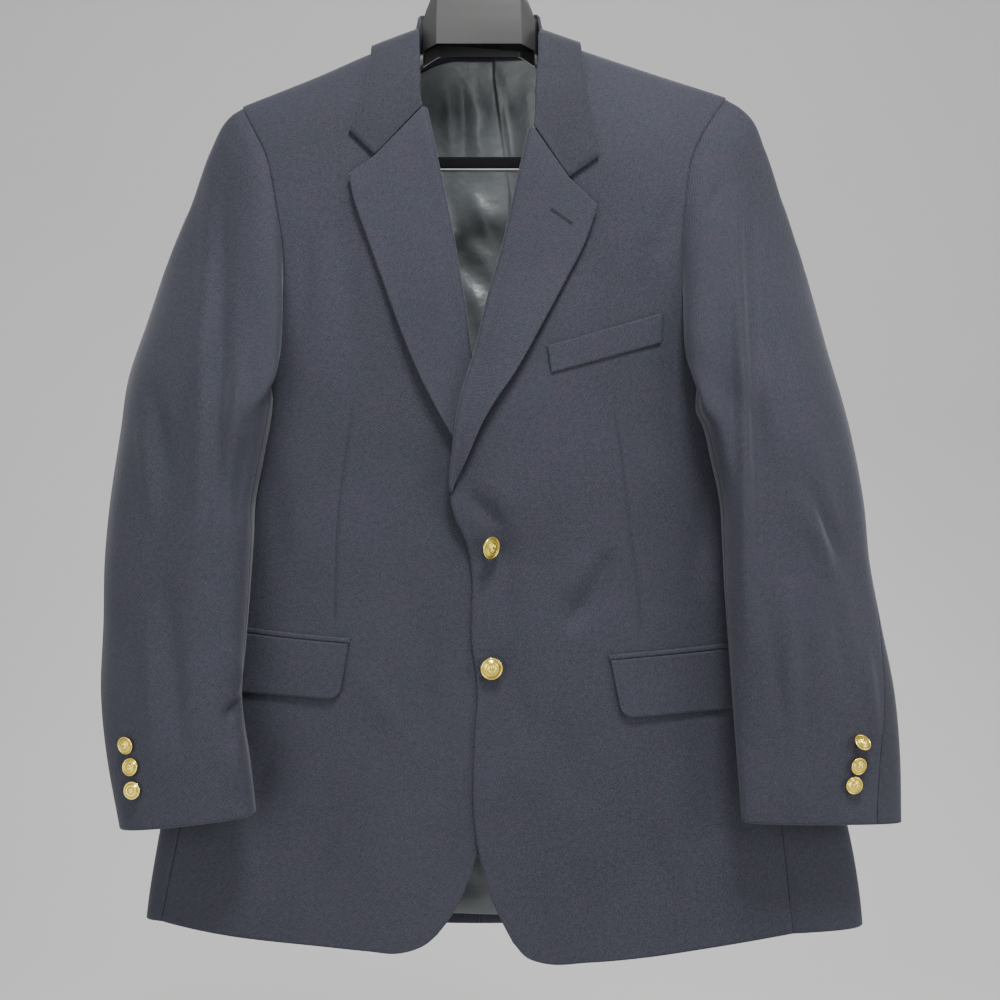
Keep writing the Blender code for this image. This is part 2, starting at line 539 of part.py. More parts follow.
def make_back(side, finish):
    low = BACK_HEM_SIDE_Z
    seam = seam_line(BACK_SIDE_SEAM, side, True, low, SEAM / 2)
    arm = opened(armhole(ARMHOLE_SHARES[::-1], side, True), 1.4 * SEAM)
    arm[0, 0] += SEAM / half_width(arm[0, 1], side)
    outer_edge = np.concatenate([seam, arm])
    rise = (outer_edge[:, 1] - outer_edge[0, 1]) / (outer_edge[-1, 1] - outer_edge[0, 1])
    centre_z = BACK_HEM_Z + (BACK_NECK_Z - BACK_HEM_Z) * rise
    centre = np.column_stack([math.pi - SEAM / 2 / half_width(centre_z, side), centre_z])
    u = np.linspace(0.0, 1.0, BACK_COLUMNS)
    bottom = outer_edge[0] * (1 - u[:, None]) + centre[0] * u[:, None]
    bottom[:, 1] = low + (BACK_HEM_Z - low) * np.sin(u * math.pi / 2)
    shoulder_x = np.linspace(ARMHOLE_BACK[side][0][0], side * NECK_X, BACK_COLUMNS - 3)
    neck_x = side * NECK_X * np.array([0.72, 0.40, 0.0])
    neck_z = back_neck_z(neck_x, side)
    top_x = np.concatenate([shoulder_x, neck_x])
    top_z = np.concatenate([shoulder_z(shoulder_x, side), neck_z])
    top = np.column_stack([angle_of(top_x, top_z, side, True), top_z])
    top[-1] = centre[-1]
    outer_edge[-1] = top[0]
    pairs = patch(bottom, top, outer_edge, centre)
    name = "back_left" if side > 0 else "back_right"
    return body_wall(name, below_shoulder(pairs, side), side, finish, forward=-SEAM / 2)


# ---------------------------------------------------------------- lapels and collar
ROLL_ANGLES = np.radians((20.0, 60.0, 100.0, 140.0, 180.0))
GORGE_SHARES = np.array((0.0, 0.21, 0.42, 0.63, 0.82, 1.0))  # the notch is at 0.63


def polyline(points, shares):
    """Points at shares of a broken line whose middle corner is at the notch's share."""
    a, b, c = (np.array(p, float) for p in points)
    notch = GORGE_SHARES[3]
    first = np.clip(shares / notch, 0.0, 1.0)[:, None]
    second = np.clip((shares - notch) / (1.0 - notch), 0.0, 1.0)[:, None]
    return a + (b - a) * first + (c - b) * second


LAPEL_ROWS = 15


def lapel_grid(side):
    """The lapel's visible face with its normals: round the rolled edge, then out over the front."""
    edge = np.array(FRONT_EDGE[side])
    gorge_z = edge[-1, 0] - 0.0010
    v = np.linspace(0.0, 1.0, LAPEL_ROWS) ** 0.9
    z = BREAK_Z[side] + (gorge_z - BREAK_Z[side]) * v
    radius = roll_radius(z, side)
    x = through(edge[:, 0], edge[:, 1], z) + side * radius
    left = np.column_stack([x, z])
    right = along(LAPEL_EDGE[side], v)
    notch = np.array(NOTCH[side]) - np.array([0.0, 0.0006])
    top = polyline((left[-1], notch, right[-1]), GORGE_SHARES)
    bottom = left[0] + (right[0] - left[0]) * GORGE_SHARES[:, None]
    flat = patch(bottom, top, left, right)
    u = GORGE_SHARES[None, :]
    at_roll = (2 * radius - CLOTH)[:, None]
    lift = at_roll + (EDGE_LIFT - at_roll) * ease(u * 1.15) * ease(v * 6)[:, None]
    face = raised(flat[..., 0], flat[..., 1], side, lift)
    angle = angle_of(flat[..., 0], flat[..., 1], side)
    normal = body_normal(angle, flat[..., 1], side)
    normal = unit(normal + np.array([side, 0.0, 0.0]) * 0.25 * (u[..., None] - 0.15))
    out = normal[:, :1]
    sideways = np.array([side, 0.0, 0.0]) * np.ones_like(out)
    centre = raised(x, z, side, radius - CLOTH)[:, None]
    turn = ROLL_ANGLES[None, :-1, None]
    round_normal = -out * np.cos(turn) - sideways * np.sin(turn)
    rounded = centre + round_normal * radius[:, None, None]
    return np.concatenate([rounded, face], axis=1), np.concatenate([round_normal, normal], axis=1)


def make_lapel(side, finish):
    face, normal = lapel_grid(side)
    return wall("lapel_left" if side > 0 else "lapel_right", face, normal, CLOTH, finish)


COLLAR_COLUMNS = 11  # from the gorge to the centre back


def collar_half(side):
    """The collar's visible face from the gorge (first column) to the centre back, fold line first."""
    v = np.linspace(0.0, 1.0, COLLAR_COLUMNS)
    fold = along(COLLAR_FOLD[side], v)
    front = np.array(COLLAR_EDGE_FRONT[side])
    ridge = np.array([[COLLAR_RIDGE[side][0], -0.003, COLLAR_RIDGE[side][1]]])
    back = np.array(COLLAR_EDGE_BACK) * np.array([side, 1.0])
    edge_points = np.concatenate([
        raised(front[:, 0], front[:, 1], side, EDGE_LIFT),
        ridge,
        raised(back[:, 0], back[:, 1], side, EDGE_LIFT, back=True),
    ])
    edge = along(edge_points, v ** 0.85)
    u = GORGE_SHARES[None, :, None]
    face = fold[:, None] * (1 - u) + edge[:, None] * u
    out = unit(np.cross(np.gradient(face, axis=1), np.gradient(face, axis=0)) * -side)
    face = face + out * 0.0045 * np.sin(np.pi * u) * ease(v * 4)[:, None, None]
    notch = np.array(NOTCH[side]) + np.array([0.0, 0.0006])
    roll = roll_radius(fold[:1, 2], side)[0]
    corner = np.array([fold[0, 0] + side * roll, fold[0, 2] + 0.0010])
    end = polyline((corner, notch, COLLAR_TIP[side]), GORGE_SHARES)
    lift = (2 * roll - CLOTH) + (EDGE_LIFT - 2 * roll + CLOTH) * ease(GORGE_SHARES * 1.15)
    end = raised(end[:, 0], end[:, 1], side, lift)
    share = (ease(1.0 - v * 2.6))[:, None, None]
    shifted = face + (end - face[0])[None] * share
    for row in shifted:
        for point in row:
            keep_off(point, side, EDGE_LIFT)
    return shifted


def keep_off(point, side, lift):
    """Move a point of the collar forward, back or up until it clears the form by the lift."""
    drop = float(shoulder_z(point[0], side)) - point[2]
    is_back = point[1] > -0.002
    if drop > 0.030:
        surface = raised(point[0], point[2], side, lift, back=is_back)
        point[1] = max(point[1], surface[1]) if is_back else min(point[1], surface[1])
        return
    depth = float(form_row(4 if is_back else 3, point[2]))
    lean = -SHOULDER_LEAN * (point[0] / 0.23) ** 2
    share = min(abs(point[1] - lean) / depth, 0.95)
    top = float(shoulder_z(point[0], side)) - SHOULDER_ROUND * (1.0 - math.sqrt(1.0 - share**2))
    point[2] = max(point[2], top + lift * 1.6)


def make_collar(finish):
    left, right = collar_half(1), collar_half(-1)
    face = np.concatenate([left, right[-2::-1]])
    normal = grid_normals(face, np.array([0.0, 0.0, 0.0]))
    normal = normal * np.sign(normal[len(face) // 2, 2, 1] or 1.0)
    return wall("collar_fall", face, normal, CLOTH, finish)


def collar_stand_half(side):
    v = np.linspace(0.0, 1.0, COLLAR_COLUMNS)[2:]
    fold = along(COLLAR_FOLD[side], v)
    inward = np.column_stack([-fold[:, 0], 0.004 - fold[:, 1], np.zeros(len(fold))])
    top = fold + unit(inward) * 0.0058 - np.array([0.0, 0.0, 0.0072])
    seam_front = np.array(NECK_SEAM[side])
    neck_x = side * NECK_X * np.array([0.72, 0.40, 0.0])
    seam_back = np.column_stack([neck_x, back_neck_z(neck_x, side)])
    inset = -(CLOTH + 0.0016)
    line = np.concatenate([
        raised(seam_front[:, 1], seam_front[:, 0], side, inset),
        raised(seam_back[:, 0], seam_back[:, 1], side, inset, back=True),
    ])
    line[len(seam_front) - 1] += np.array([-side * 0.003, 0.0, -0.0012])
    bottom = along(line, v)
    u = np.linspace(0.0, 1.0, 3)[None, :, None]
    return top[:, None] * (1 - u) + bottom[:, None] * u


def make_stand(finish):
    left, right = collar_stand_half(1), collar_stand_half(-1)
    face = np.concatenate([left, right[-2::-1]])
    normal = grid_normals(face, np.array([0.0, 0.0, 0.0]))
    normal = normal * np.sign(normal[len(face) // 2, 1, 1] or 1.0)
    return wall("collar_stand", face, normal, TRIM, finish)


# ---------------------------------------------------------------- sleeves
def sleeve_loop(angle, side):
    """The armhole on the form at an angle round the sleeve."""
    wrapped = np.mod(angle, 2 * math.pi)
    front = wrapped <= math.pi
    share = np.where(front, wrapped / math.pi, 2.0 - wrapped / math.pi)
    pairs = np.where(front[..., None], armhole(share, side, False), armhole(share, side, True))
    return body(pairs[..., 0], pairs[..., 1], side)


def clear_of_body(points, side, gap):
    """Push points out of the body, level and square to its form, until they clear it by the gap."""
    x, y, z = points[..., 0].copy(), points[..., 1].copy(), points[..., 2]
    for _ in range(3):
        lean = -SHOULDER_LEAN * (x / 0.23) ** 2 * ease((z + 0.62) / 0.25)
        drop = np.clip((shoulder_z(x, side) - z) / SHOULDER_ROUND, 0.0, 1.0)
        cap = np.sqrt(1.0 - (1.0 - drop) ** 2)
        ahead = y < lean
        over_flap = np.where(ahead, 0.0052, 0.0) * ease((-0.665 - z) / 0.02) * ease((z + 0.785) / 0.02)
        depth = np.where(ahead, form_row(3, z), form_row(4, z)) * cap + gap + over_flap
        width = half_width(z, side) + gap + over_flap
        power = CORNER_POWER
        across, along_depth = np.abs(x) / width, np.abs(y - lean) / np.maximum(depth, 1e-4)
        radius = (across**power + along_depth**power) ** (1 / power)
        push = 1.0 + (np.maximum(1.0, 1.0 / np.maximum(radius, 1e-6)) - 1.0) * ease((-0.235 - z) / 0.05)
        x, y = x * push, lean + (y - lean) * push
    return np.stack([x, y, z], axis=-1)


def sleeve(t, angle, side):
    """A point of the sleeve: t runs from the armhole (0) to the cuff (1), the angle round it."""
    t, angle = np.broadcast_arrays(np.asarray(t, float), np.asarray(angle, float))
    rows = np.array(SLEEVE[side])
    steps = np.linalg.norm(np.diff((rows[:, :3] + rows[:, 3:6]) / 2, axis=0), axis=1)
    chord = np.concatenate([[0.0], np.cumsum(steps)])
    knots = chord / chord[-1]
    values = through(knots, rows, t)
    first = rows[0]
    outer, inner, depth = values[..., :3], values[..., 3:6], values[..., 6:7]
    cos, sin = np.cos(angle)[..., None], np.sin(angle)[..., None]
    square = 1.0 + 0.06 * np.sin(2 * angle)[..., None] ** 2
    ahead = np.array([0.0, -1.0, 0.0])
    ring = (outer + inner) / 2 + ((outer - inner) / 2 * cos + ahead * depth * sin) * square
    spread0 = (first[:3] - first[3:6]) / 2 * cos + ahead * first[6] * sin
    ring0 = (first[:3] + first[3:6]) / 2 + spread0 * square
    fade = (1.0 - ease(t / 0.36))[..., None]
    point = ring + (sleeve_loop(angle, side) - ring0) * fade
    centre = (outer + inner) / 2
    puff = unit(point - centre)
    height = np.zeros(t.shape)
    for top, low, rise, width, start, end in SLEEVE_FOLDS[side]:
        share = (point[..., 2] - start) / (end - start)
        middle = np.radians(top + (low - top) * np.clip(share, 0.0, 1.0))
        away = (angle - middle + math.pi) % (2 * math.pi) - math.pi
        ends = np.sin(np.pi * np.clip(share, 0.0, 1.0)) ** 0.8
        height = height + rise * np.exp(-((away / np.radians(width)) ** 2)) * ends
    point = point + puff * (height * ease(t / 0.10))[..., None]
    return clear_of_body(point, side, 0.0021 * ease(t / 0.014) + 0.0021 * ease(t / 0.06) - 0.0001)


def sleeve_normal(t, angle, side):
    step_t, step_a = 2e-3, 1e-2
    low, high = np.maximum(t - step_t, 0.0), np.minimum(t + step_t, 1.0)
    down = sleeve(high, angle, side) - sleeve(low, angle, side)
    along_ring = sleeve(t, angle + step_a, side) - sleeve(t, angle - step_a, side)
    return unit(np.cross(along_ring, down) * side)


SLEEVE_HEAD_ROWS = (0.0, 0.014, 0.035, 0.065, 0.105, 0.155)
SLEEVE_ROWS = np.concatenate([SLEEVE_HEAD_ROWS, np.linspace(0.215, 1.0, 13)])


def seam_angle(table, side, t):
    start, end = np.radians(table[side])
    return start + (end - start) * ease(np.clip((t - 0.1) / 0.9, 0, 1) ** 0.9)


def ring_angles(side, upper):
    """Angles of a sleeve piece's points at the armhole: the same points as those of the body's edge."""
    down = [180.0 * share for share in ARMHOLE_SHARES]
    around = sorted(set(down + [360.0 - a for a in down] + [180.0 * share for share in SIDE_SHARES]))
    fore, hind = FORESEAM[side][0], HINDSEAM[side][0] + 360.0
    if upper:
        chosen = [a - 360.0 for a in around if a > hind - 0.1] + [a for a in around if a < fore + 0.1]
    else:
        chosen = [a for a in around if fore - 0.1 < a < hind + 0.1]
    return np.radians(sorted(set(round(a, 6) for a in chosen if a < 359.9)))


def make_sleeve(side, upper, finish):
    at_armhole = ring_angles(side, upper)
    share = (at_armhole - at_armhole[0]) / (at_armhole[-1] - at_armhole[0])
    t = SLEEVE_ROWS[:, None]
    fore, hind = seam_angle(FORESEAM, side, t), seam_angle(HINDSEAM, side, t)
    trim = SLEEVE_SEAM / 2 / 0.055 * (1.0 + 1.5 * ease((0.06 - t) / 0.03))
    start, end = (hind, fore) if upper else (fore, hind + 2 * math.pi)
    angle = start + (end - start) * share[None, :]
    angle[:, :1] += trim
    angle[:, -1:] -= trim
    t = np.broadcast_to(t, angle.shape)
    outer = sleeve(t, angle, side)
    normal = sleeve_normal(t, angle, side)
    wrapped = np.mod(angle[0], 2 * math.pi)
    front = wrapped <= math.pi
    part = np.where(front, wrapped / math.pi, 2.0 - wrapped / math.pi)
    pairs = np.where(front[:, None], armhole(part, side, False), armhole(part, side, True))
    level = ease((0.75 - part) / 0.30)[:, None]
    normal[0] = unit(normal[0] * (1.0 - level) + body_normal(pairs[:, 0], pairs[:, 1], side) * level)
    name = ("top" if upper else "under") + "_sleeve_" + ("left" if side > 0 else "right")
    return wall(name, outer, normal, CLOTH, finish)


# ---------------------------------------------------------------- pockets
def laid(name, angle, z, side, lift, thickness, finish):
    """A piece whose outer face is made from the front's points, moved out."""
    angle, z = np.broadcast_arrays(angle, z)
    normal = body_normal(angle, z, side)
    outer = body(angle, z, side) + normal * np.asarray(lift)[..., None]
    return wall(name, outer, normal, thickness, finish)


def make_pocket(side, cloth, trim):
    label = "left" if side > 0 else "right"
    inner, outer, top_in, top_out, deep_in, deep_out = FLAP[side]
    start = float(angle_of(inner, top_in, side))
    turn = float(angle_of(outer, top_out, side)) - start
    length = abs(outer - inner) * 1.12
    c = FLAP_CORNER
    straight = np.linspace(c, length - c, 8)
    d = np.concatenate([[0.0, 0.29 * c], straight, [length - 0.29 * c, length]])
    u = d / length
    end = np.minimum(d, length - d)
    rise = c - np.sqrt(np.maximum(c**2 - np.maximum(c - end, 0.0) ** 2, 0.0))
    top = top_in + (top_out - top_in) * u
    deep = deep_in + (deep_out - deep_in) * u - rise
    v = np.array((0.0, 0.25, 0.5, 0.8, 1.0))[:, None]
    angle = start + turn * u[None, :] + FLAP_LEAN / 0.25 * v * (1 - u)[None, :]
    z = (top - JET_HEIGHT - 0.0005)[None, :] - deep[None, :] * v
    laid("flap_" + label, angle, z, side, FLAP_LIFT + CLOTH + 0.0012 * v + 0 * angle, CLOTH, cloth)
    u = np.linspace(-0.008, 1.008, 12)[None, :]
    z = top_in + (top_out - top_in) * u - np.array([[0.0], [JET_HEIGHT]])
    laid("pocket_jet_" + label, start + turn * u, z, side, FLAP_LIFT + TRIM + 0 * z, TRIM, trim)


def make_welt(finish):
    a, b, c, d = (np.array(p) for p in WELT)
    u = np.linspace(0.0, 1.0, 7)[None, :, None]
    v = np.linspace(0.0, 1.0, 3)[:, None, None]
    flat = (a * (1 - u) + b * u) * (1 - v) + (d * (1 - u) + c * u) * v
    angle = angle_of(flat[..., 0], flat[..., 1], 1)
    laid("breast_welt", angle, flat[..., 1], 1, FLAP_LIFT + TRIM + 0 * angle, TRIM, finish)


# ---------------------------------------------------------------- lining
def make_lining(finish):
    """The part of the lining that shows: behind the neck and at the hem, with its centre pleat."""
    x = np.concatenate([np.linspace(-0.168, -0.030, 6), [-0.006, 0.006, 0.010], np.linspace(0.035, 0.170, 6)])
    v = np.concatenate([np.linspace(0.0, 0.88, 9), [0.94, 0.97, 1.0]])[:, None]
    top = -0.170 - 0.046 * ease((np.abs(x) - 0.05) / 0.11)
    z = -0.955 + (top[None, :] + 0.955) * v
    x = x[None, :] * np.ones_like(z)
    pleat = 0.0030 * ease((0.010 - x) / 0.004) * ease((x + 0.060) / 0.050)
    sewn = 0.40 * ease((v - 0.90) / 0.07)
    depth = CLOTH + LINING_EASE * (1.0 - sewn) + pleat
    side_of = np.where(x >= 0, 1, -1)
    outer, normal = np.zeros((*x.shape, 3)), np.zeros((*x.shape, 3))
    for side in (1, -1):
        use = side_of == side
        angle = angle_of(x[use], z[use], side, back=True)
        normal[use] = body_normal(angle, z[use], side)
        outer[use] = body(angle, z[use], side) - normal[use] * depth[use][:, None]
    return wall("lining_back", outer, normal, LINING, finish)


# ---------------------------------------------------------------- buttons
def lathe(profile, sides):
    """Vertices and faces of a closed turned form: profile of (radius, height), both ends on the axis."""
    vertices, rings = [], []
    for radius, height in profile:
        if radius < 1e-9:
            rings.append([len(vertices)])
            vertices.append((0.0, 0.0, height))
            continue
        rings.append(list(range(len(vertices), len(vertices) + sides)))
        for i in range(sides):
            a = 2 * math.pi * i / sides
            vertices.append((radius * math.cos(a), radius * math.sin(a), height))
    faces = []
    for low, high in zip(rings, rings[1:]):
        for i in range(sides):
            j = (i + 1) % sides
            if len(low) == 1:
                faces.append((low[0], high[j], high[i]))
            elif len(high) == 1:
                faces.append((low[i], low[j], high[0]))
            else:
                faces.append((low[i], low[j], high[j], high[i]))
    return vertices, faces


def make_button(name, base, turn, tilt, radius, shank, finish, sides=18):
    """A domed blazer button on its shank, with a raised rim and a plain raised ring; axis along local +Z."""
    r = radius
    disc = ((0.94, 0.02), (1.0, 0.10), (0.97, 0.22), (0.86, 0.20), (0.62, 0.36), (0.50, 0.46), (0.0, 0.50))
    profile = [(0.0, 0.0), (0.30 * r, 0.0), (0.30 * r, shank)]
    profile += [(across * r, shank + up * r) for across, up in disc]
    vertices, faces = lathe(profile, sides)
    face_front = Matrix.Rotation(math.radians(90.0), 4, "X")
    place = Matrix.Translation(Vector(base)) @ Matrix.Rotation(math.radians(turn), 4, "Z")
    place = place @ Matrix.Rotation(math.radians(tilt), 4, "X") @ face_front
    return solid(name, [place @ Vector(v) for v in vertices], faces, finish, sharp=35.0)


def off_square(normal, turn, tilt):
    """Sine of the angle between a button's axis and the cloth's normal."""
    turn, tilt = math.radians(turn), math.radians(tilt)
    axis = np.array([math.sin(turn) * math.cos(tilt), -math.cos(turn) * math.cos(tilt), math.sin(tilt)])
    return float(np.linalg.norm(np.cross(axis, normal)))


def sleeve_spot(x, z, side):
    """Where the front of the sleeve passes x, z, with its normal there."""
    t = np.linspace(0.6, 1.0, 81)[:, None]
    angle = np.radians(np.linspace(-20.0, 110.0, 131))[None, :]
    points = sleeve(t + 0 * angle, angle + 0 * t, side)
    best = np.argmin((points[..., 0] - x) ** 2 + (points[..., 2] - z) ** 2)
    i, j = np.unravel_index(best, points.shape[:2])
    return points[i, j], sleeve_normal(t[i], angle[0, j : j + 1], side)[0]


def make_buttons(finish):
    for label, (x, z, turn, tilt, clear) in FRONT_BUTTONS.items():
        normal = body_normal(angle_of(x, z, 1), np.array(z), 1)
        slope = off_square(normal, turn, tilt)
        base = raised(x, z, 1, clear + 0.30 * FRONT_BUTTON_R * slope)
        shank = 0.0018 + 0.85 * FRONT_BUTTON_R * slope
        make_button("front_button_" + label, base, turn, tilt, FRONT_BUTTON_R, shank, finish, 24)
    for side in (1, -1):
        hand = "left" if side > 0 else "right"
        for label, (x, z, turn, tilt) in CUFF_BUTTONS[side].items():
            point, normal = sleeve_spot(x, z, side)
            slope = off_square(normal, turn, tilt)
            base = point + normal * (0.0004 + 0.30 * CUFF_BUTTON_R * slope)
            shank = 0.0014 + 0.80 * CUFF_BUTTON_R * slope
            name = "cuff_button_" + hand + "_" + label
            make_button(name, base, turn, tilt, CUFF_BUTTON_R, shank, finish, 16)


# ---------------------------------------------------------------- hanger
RING_SIDES = 16


def arm_top(x):
    lower = 0.010 * float(ease((0.110 - abs(x)) / 0.05))
    return float(shoulder_z(x, 1 if x > 0 else -1)) - ARM_CLEARANCE - lower


def hanger_section(x, top, bottom, half, power):
    """A rounded section square to X: power 2 is an ellipse, a high power a box."""
    a = 2 * math.pi * (np.arange(RING_SIDES) + 0.5) / RING_SIDES
    c, s = np.cos(a), np.sin(a)
    n = (np.abs(c) ** power + np.abs(s) ** power) ** (1 / power)
    middle = -SHOULDER_LEAN * (x / 0.23) ** 2 - NECK_FORWARD * float(ease((0.056 - abs(x)) / 0.016))
    y = middle + half * c / n
    z = (top + bottom) / 2 + (top - bottom) / 2 * s / n
    return np.column_stack([np.full(RING_SIDES, x), y, z])


def tube(sections):
    """Vertices and faces of a closed tube through rings of the same number of points."""
    count = len(sections[0])
    vertices = [tuple(p) for ring in sections for p in ring]
    faces = []
    for i in range(len(sections) - 1):
        for j in range(count):
            k = (j + 1) % count
            faces.append((i * count + j, i * count + k, (i + 1) * count + k, (i + 1) * count + j))
    faces.append(tuple(range(count)))
    faces.append(tuple(range((len(sections) - 1) * count, len(sections) * count)))
    return vertices, faces


def make_hanger(finish):
    sections = []
    for side in (-1, 1):
        half = []
        for x, top, bottom, thick in HANGER_NECK:
            half.append(hanger_section(side * x, top, bottom, thick, 9.0))
        for x, height, thick in HANGER_ARM:
            top = arm_top(side * x)
            half.append(hanger_section(side * x, top, top - height, thick, 2.6))
        sections += half[::-1] if side < 0 else half[1:]
    vertices, faces = tube(sections)
    solid("hanger_body", vertices, faces, finish, sharp=30.0)


def arm_underside(x):
    height = np.interp(abs(x), [row[0] for row in HANGER_ARM], [row[1] for row in HANGER_ARM])
    return arm_top(x) - float(height)


def make_bar(finish):
    """A flat bar below the arms, its ends bent up to them."""
    path = []
    for side in (-1, 1):
        half = [(side * BAR_X, arm_underside(side * BAR_X), side * 1.0, 0.0)]
        for degree in (0.0, 22.5, 45.0, 67.5, 90.0):
            a = math.radians(degree)
            x = side * (BAR_X - BAR_BEND + BAR_BEND * math.cos(a))
            half.append((x, BAR_Z + BAR_BEND - BAR_BEND * math.sin(a), side * math.cos(a), -math.sin(a)))
        half.append((side * 0.06, BAR_Z, 0.0, -1.0))
        path += half if side < 0 else half[::-1]
    sections = []
    for x, z, nx, nz in path:
        ring = []
        for degree in range(0, 360, 45):
            a = math.radians(degree + 22.5)
            across = BAR_HEIGHT / 2 * math.sin(a) / math.cos(math.radians(22.5))
            lean = -SHOULDER_LEAN * (x / 0.23) ** 2 * ease((z + 0.25) / 0.03)
            y = BAR_Y * float(1 - ease((z + 0.25) / 0.03)) + float(lean)
            y += BAR_DEPTH / 2 * math.cos(a) / math.cos(math.radians(22.5))
            ring.append([x - nx * across, y, z - nz * across])
        if nz == 0.0:
            for point in ring:
                point[2] = arm_underside(point[0]) - 0.0005
        sections.append(ring)
    vertices, faces = tube(sections)
    solid("trouser_bar", vertices, faces, finish, sharp=50.0)


def make_hook(finish):
    """Wire from the hanger's neck, round the ring, to an open end; the inside of its top is the origin."""
    ring_z = HOOK_WIRE_R - HOOK_RING_R
    path = [(0.0, -0.0694), (0.0, -0.0600), (0.0008, -0.0545)]
    start = math.radians(-62.0)
    for i in range(19):
        a = start + (math.radians(212.0) - start) * i / 18
        path.append((HOOK_RING_R * math.cos(a), ring_z + HOOK_RING_R * math.sin(a)))
    path = np.array(path)
    tangent = unit(np.gradient(path, axis=0))
    sections = []
    for (x, z), (dx, dz) in zip(path, tangent):
        ring = []
        for i in range(10):
            a = 2 * math.pi * i / 10
            across = HOOK_WIRE_R * math.cos(a)
            ring.append((x - dz * across, HOOK_WIRE_R * math.sin(a), z + dx * across))
        sections.append(ring)
    vertices, faces = tube(sections)
    solid("hook", vertices, faces, finish, sharp=60.0)


# ---------------------------------------------------------------- build
def build():
    for obj in list(bpy.data.objects):
        bpy.data.objects.remove(obj, do_unlink=True)
    wool = material("navy_wool", NAVY, 0.9)
    under = material("navy_wool_under", (0.016, 0.019, 0.031), 0.92)
    trim = material("navy_wool_trim", (0.022, 0.026, 0.042), 0.88)
    lining = material("lining", DARK_LINING, 0.45)
    brass = material("brass", BRASS, 0.25, 1.0)
    grey = material("hanger_plastic", HANGER_GREY, 0.42)
    velvet = material("bar_velvet", VELVET, 0.95)
    chrome = material("hook_steel", CHROME, 0.25, 1.0)
    for side in (1, -1):
        make_front(side, wool)
        make_side_body(side, wool)
        make_back(side, wool)
        make_lapel(side, trim)
        make_sleeve(side, True, wool)
        make_sleeve(side, False, under)
        make_pocket(side, wool, trim)
    make_collar(trim)
    make_stand(under)
    make_welt(trim)
    make_lining(lining)
    make_buttons(brass)
    make_hanger(grey)
    make_bar(velvet)
    make_hook(chrome)


build()
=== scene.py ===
"""The looks of a single-breasted wool blazer on its hanger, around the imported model.

Every cloth piece repeats the form and the cutting lines of its solid on a finer grid. Creases, turned
edges, weave, buttonholes and the relief of the buttons are added here. Metres, in the model's frame.
"""

import math

import bmesh
import bpy
import numpy as np
from mathutils import Matrix, Vector


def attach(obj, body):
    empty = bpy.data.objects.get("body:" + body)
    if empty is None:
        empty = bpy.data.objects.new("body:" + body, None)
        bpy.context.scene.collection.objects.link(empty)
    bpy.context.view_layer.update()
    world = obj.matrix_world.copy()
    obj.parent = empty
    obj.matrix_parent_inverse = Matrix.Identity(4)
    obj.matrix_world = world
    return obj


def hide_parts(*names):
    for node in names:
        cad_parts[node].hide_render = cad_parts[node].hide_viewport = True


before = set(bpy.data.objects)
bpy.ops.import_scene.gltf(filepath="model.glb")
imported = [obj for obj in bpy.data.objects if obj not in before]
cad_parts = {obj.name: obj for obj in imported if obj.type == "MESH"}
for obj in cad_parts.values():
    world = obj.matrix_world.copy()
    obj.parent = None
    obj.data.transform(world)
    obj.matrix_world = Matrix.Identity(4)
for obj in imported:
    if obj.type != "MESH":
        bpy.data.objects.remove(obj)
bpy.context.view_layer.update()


# ---------------------------------------------------------------- driving sizes
CLOTH = 0.0022  # wool with its canvas
TRIM = 0.0016  # welt and jets, pressed flat
LINING = 0.001
LINING_EASE = 0.003  # between the back and its lining
SEAM = 0.00003  # left between two pieces where they are sewn
SLEEVE_SEAM = 0.00006  # the same along the sleeves, which bend more
SLEEVE_R = 0.055  # a sleeve's usual half depth, which turns its seam's width into an angle
CORNER_POWER = 3.0  # how square the form's cross-section is: 2 is an ellipse
SHOULDER_ROUND = 0.14  # drop below the shoulder line at which the form has its full depth
SHOULDER_LEAN = 0.016  # how far forward the shoulder points sit on a contoured hanger
SHOULDER_REACH = 0.23  # distance from the centre at which the lean is that large
SHOULDER_EDGE = 0.0012  # closer to the shoulder line than this, the form's normal is taken lower down
LEAN_LOW_Z, LEAN_RISE = -0.62, 0.25  # the height where the lean starts, and how soon it is full

# The form: height, half width of the wearer's left and right, depth to the front and the back
FORM = (
    (-1.02, 0.358, 0.312, 0.052, 0.04),
    (-0.965, 0.356, 0.309, 0.052, 0.04),
    (-0.88, 0.343, 0.296, 0.053, 0.041),
    (-0.75, 0.3, 0.268, 0.056, 0.043),
    (-0.62, 0.262, 0.244, 0.059, 0.045),
    (-0.52, 0.236, 0.226, 0.061, 0.046),
    (-0.45, 0.226, 0.218, 0.061, 0.047),
    (-0.35, 0.232, 0.225, 0.059, 0.047),
    (-0.25, 0.24, 0.232, 0.055, 0.046),
    (-0.1, 0.246, 0.238, 0.05, 0.044),
)
# Height of the shoulder line by distance from the centre, wearer's left and right
SHOULDER = {
    1: ((0.0, -0.129), (0.02, -0.13), (0.05, -0.141), (0.093, -0.1565), (0.176, -0.186), (0.228, -0.2045),
        (0.27, -0.222)),
    -1: ((0.0, -0.129), (0.02, -0.13), (0.05, -0.141), (0.1, -0.1605), (0.156, -0.186), (0.183, -0.1975),
         (0.218, -0.2125), (0.26, -0.233)),
}
# The left front stands over the right one by the first below the third, and over its lapel by the second
CLOSING_LIFT, OVER_LAPEL_LIFT, CLOSING_TOP_Z = 0.0034, 0.0086, -0.42
OVER_LAPEL = (-0.64, 0.06, -0.36, 0.08)  # heights of the lapel: from, rising over, to, falling over
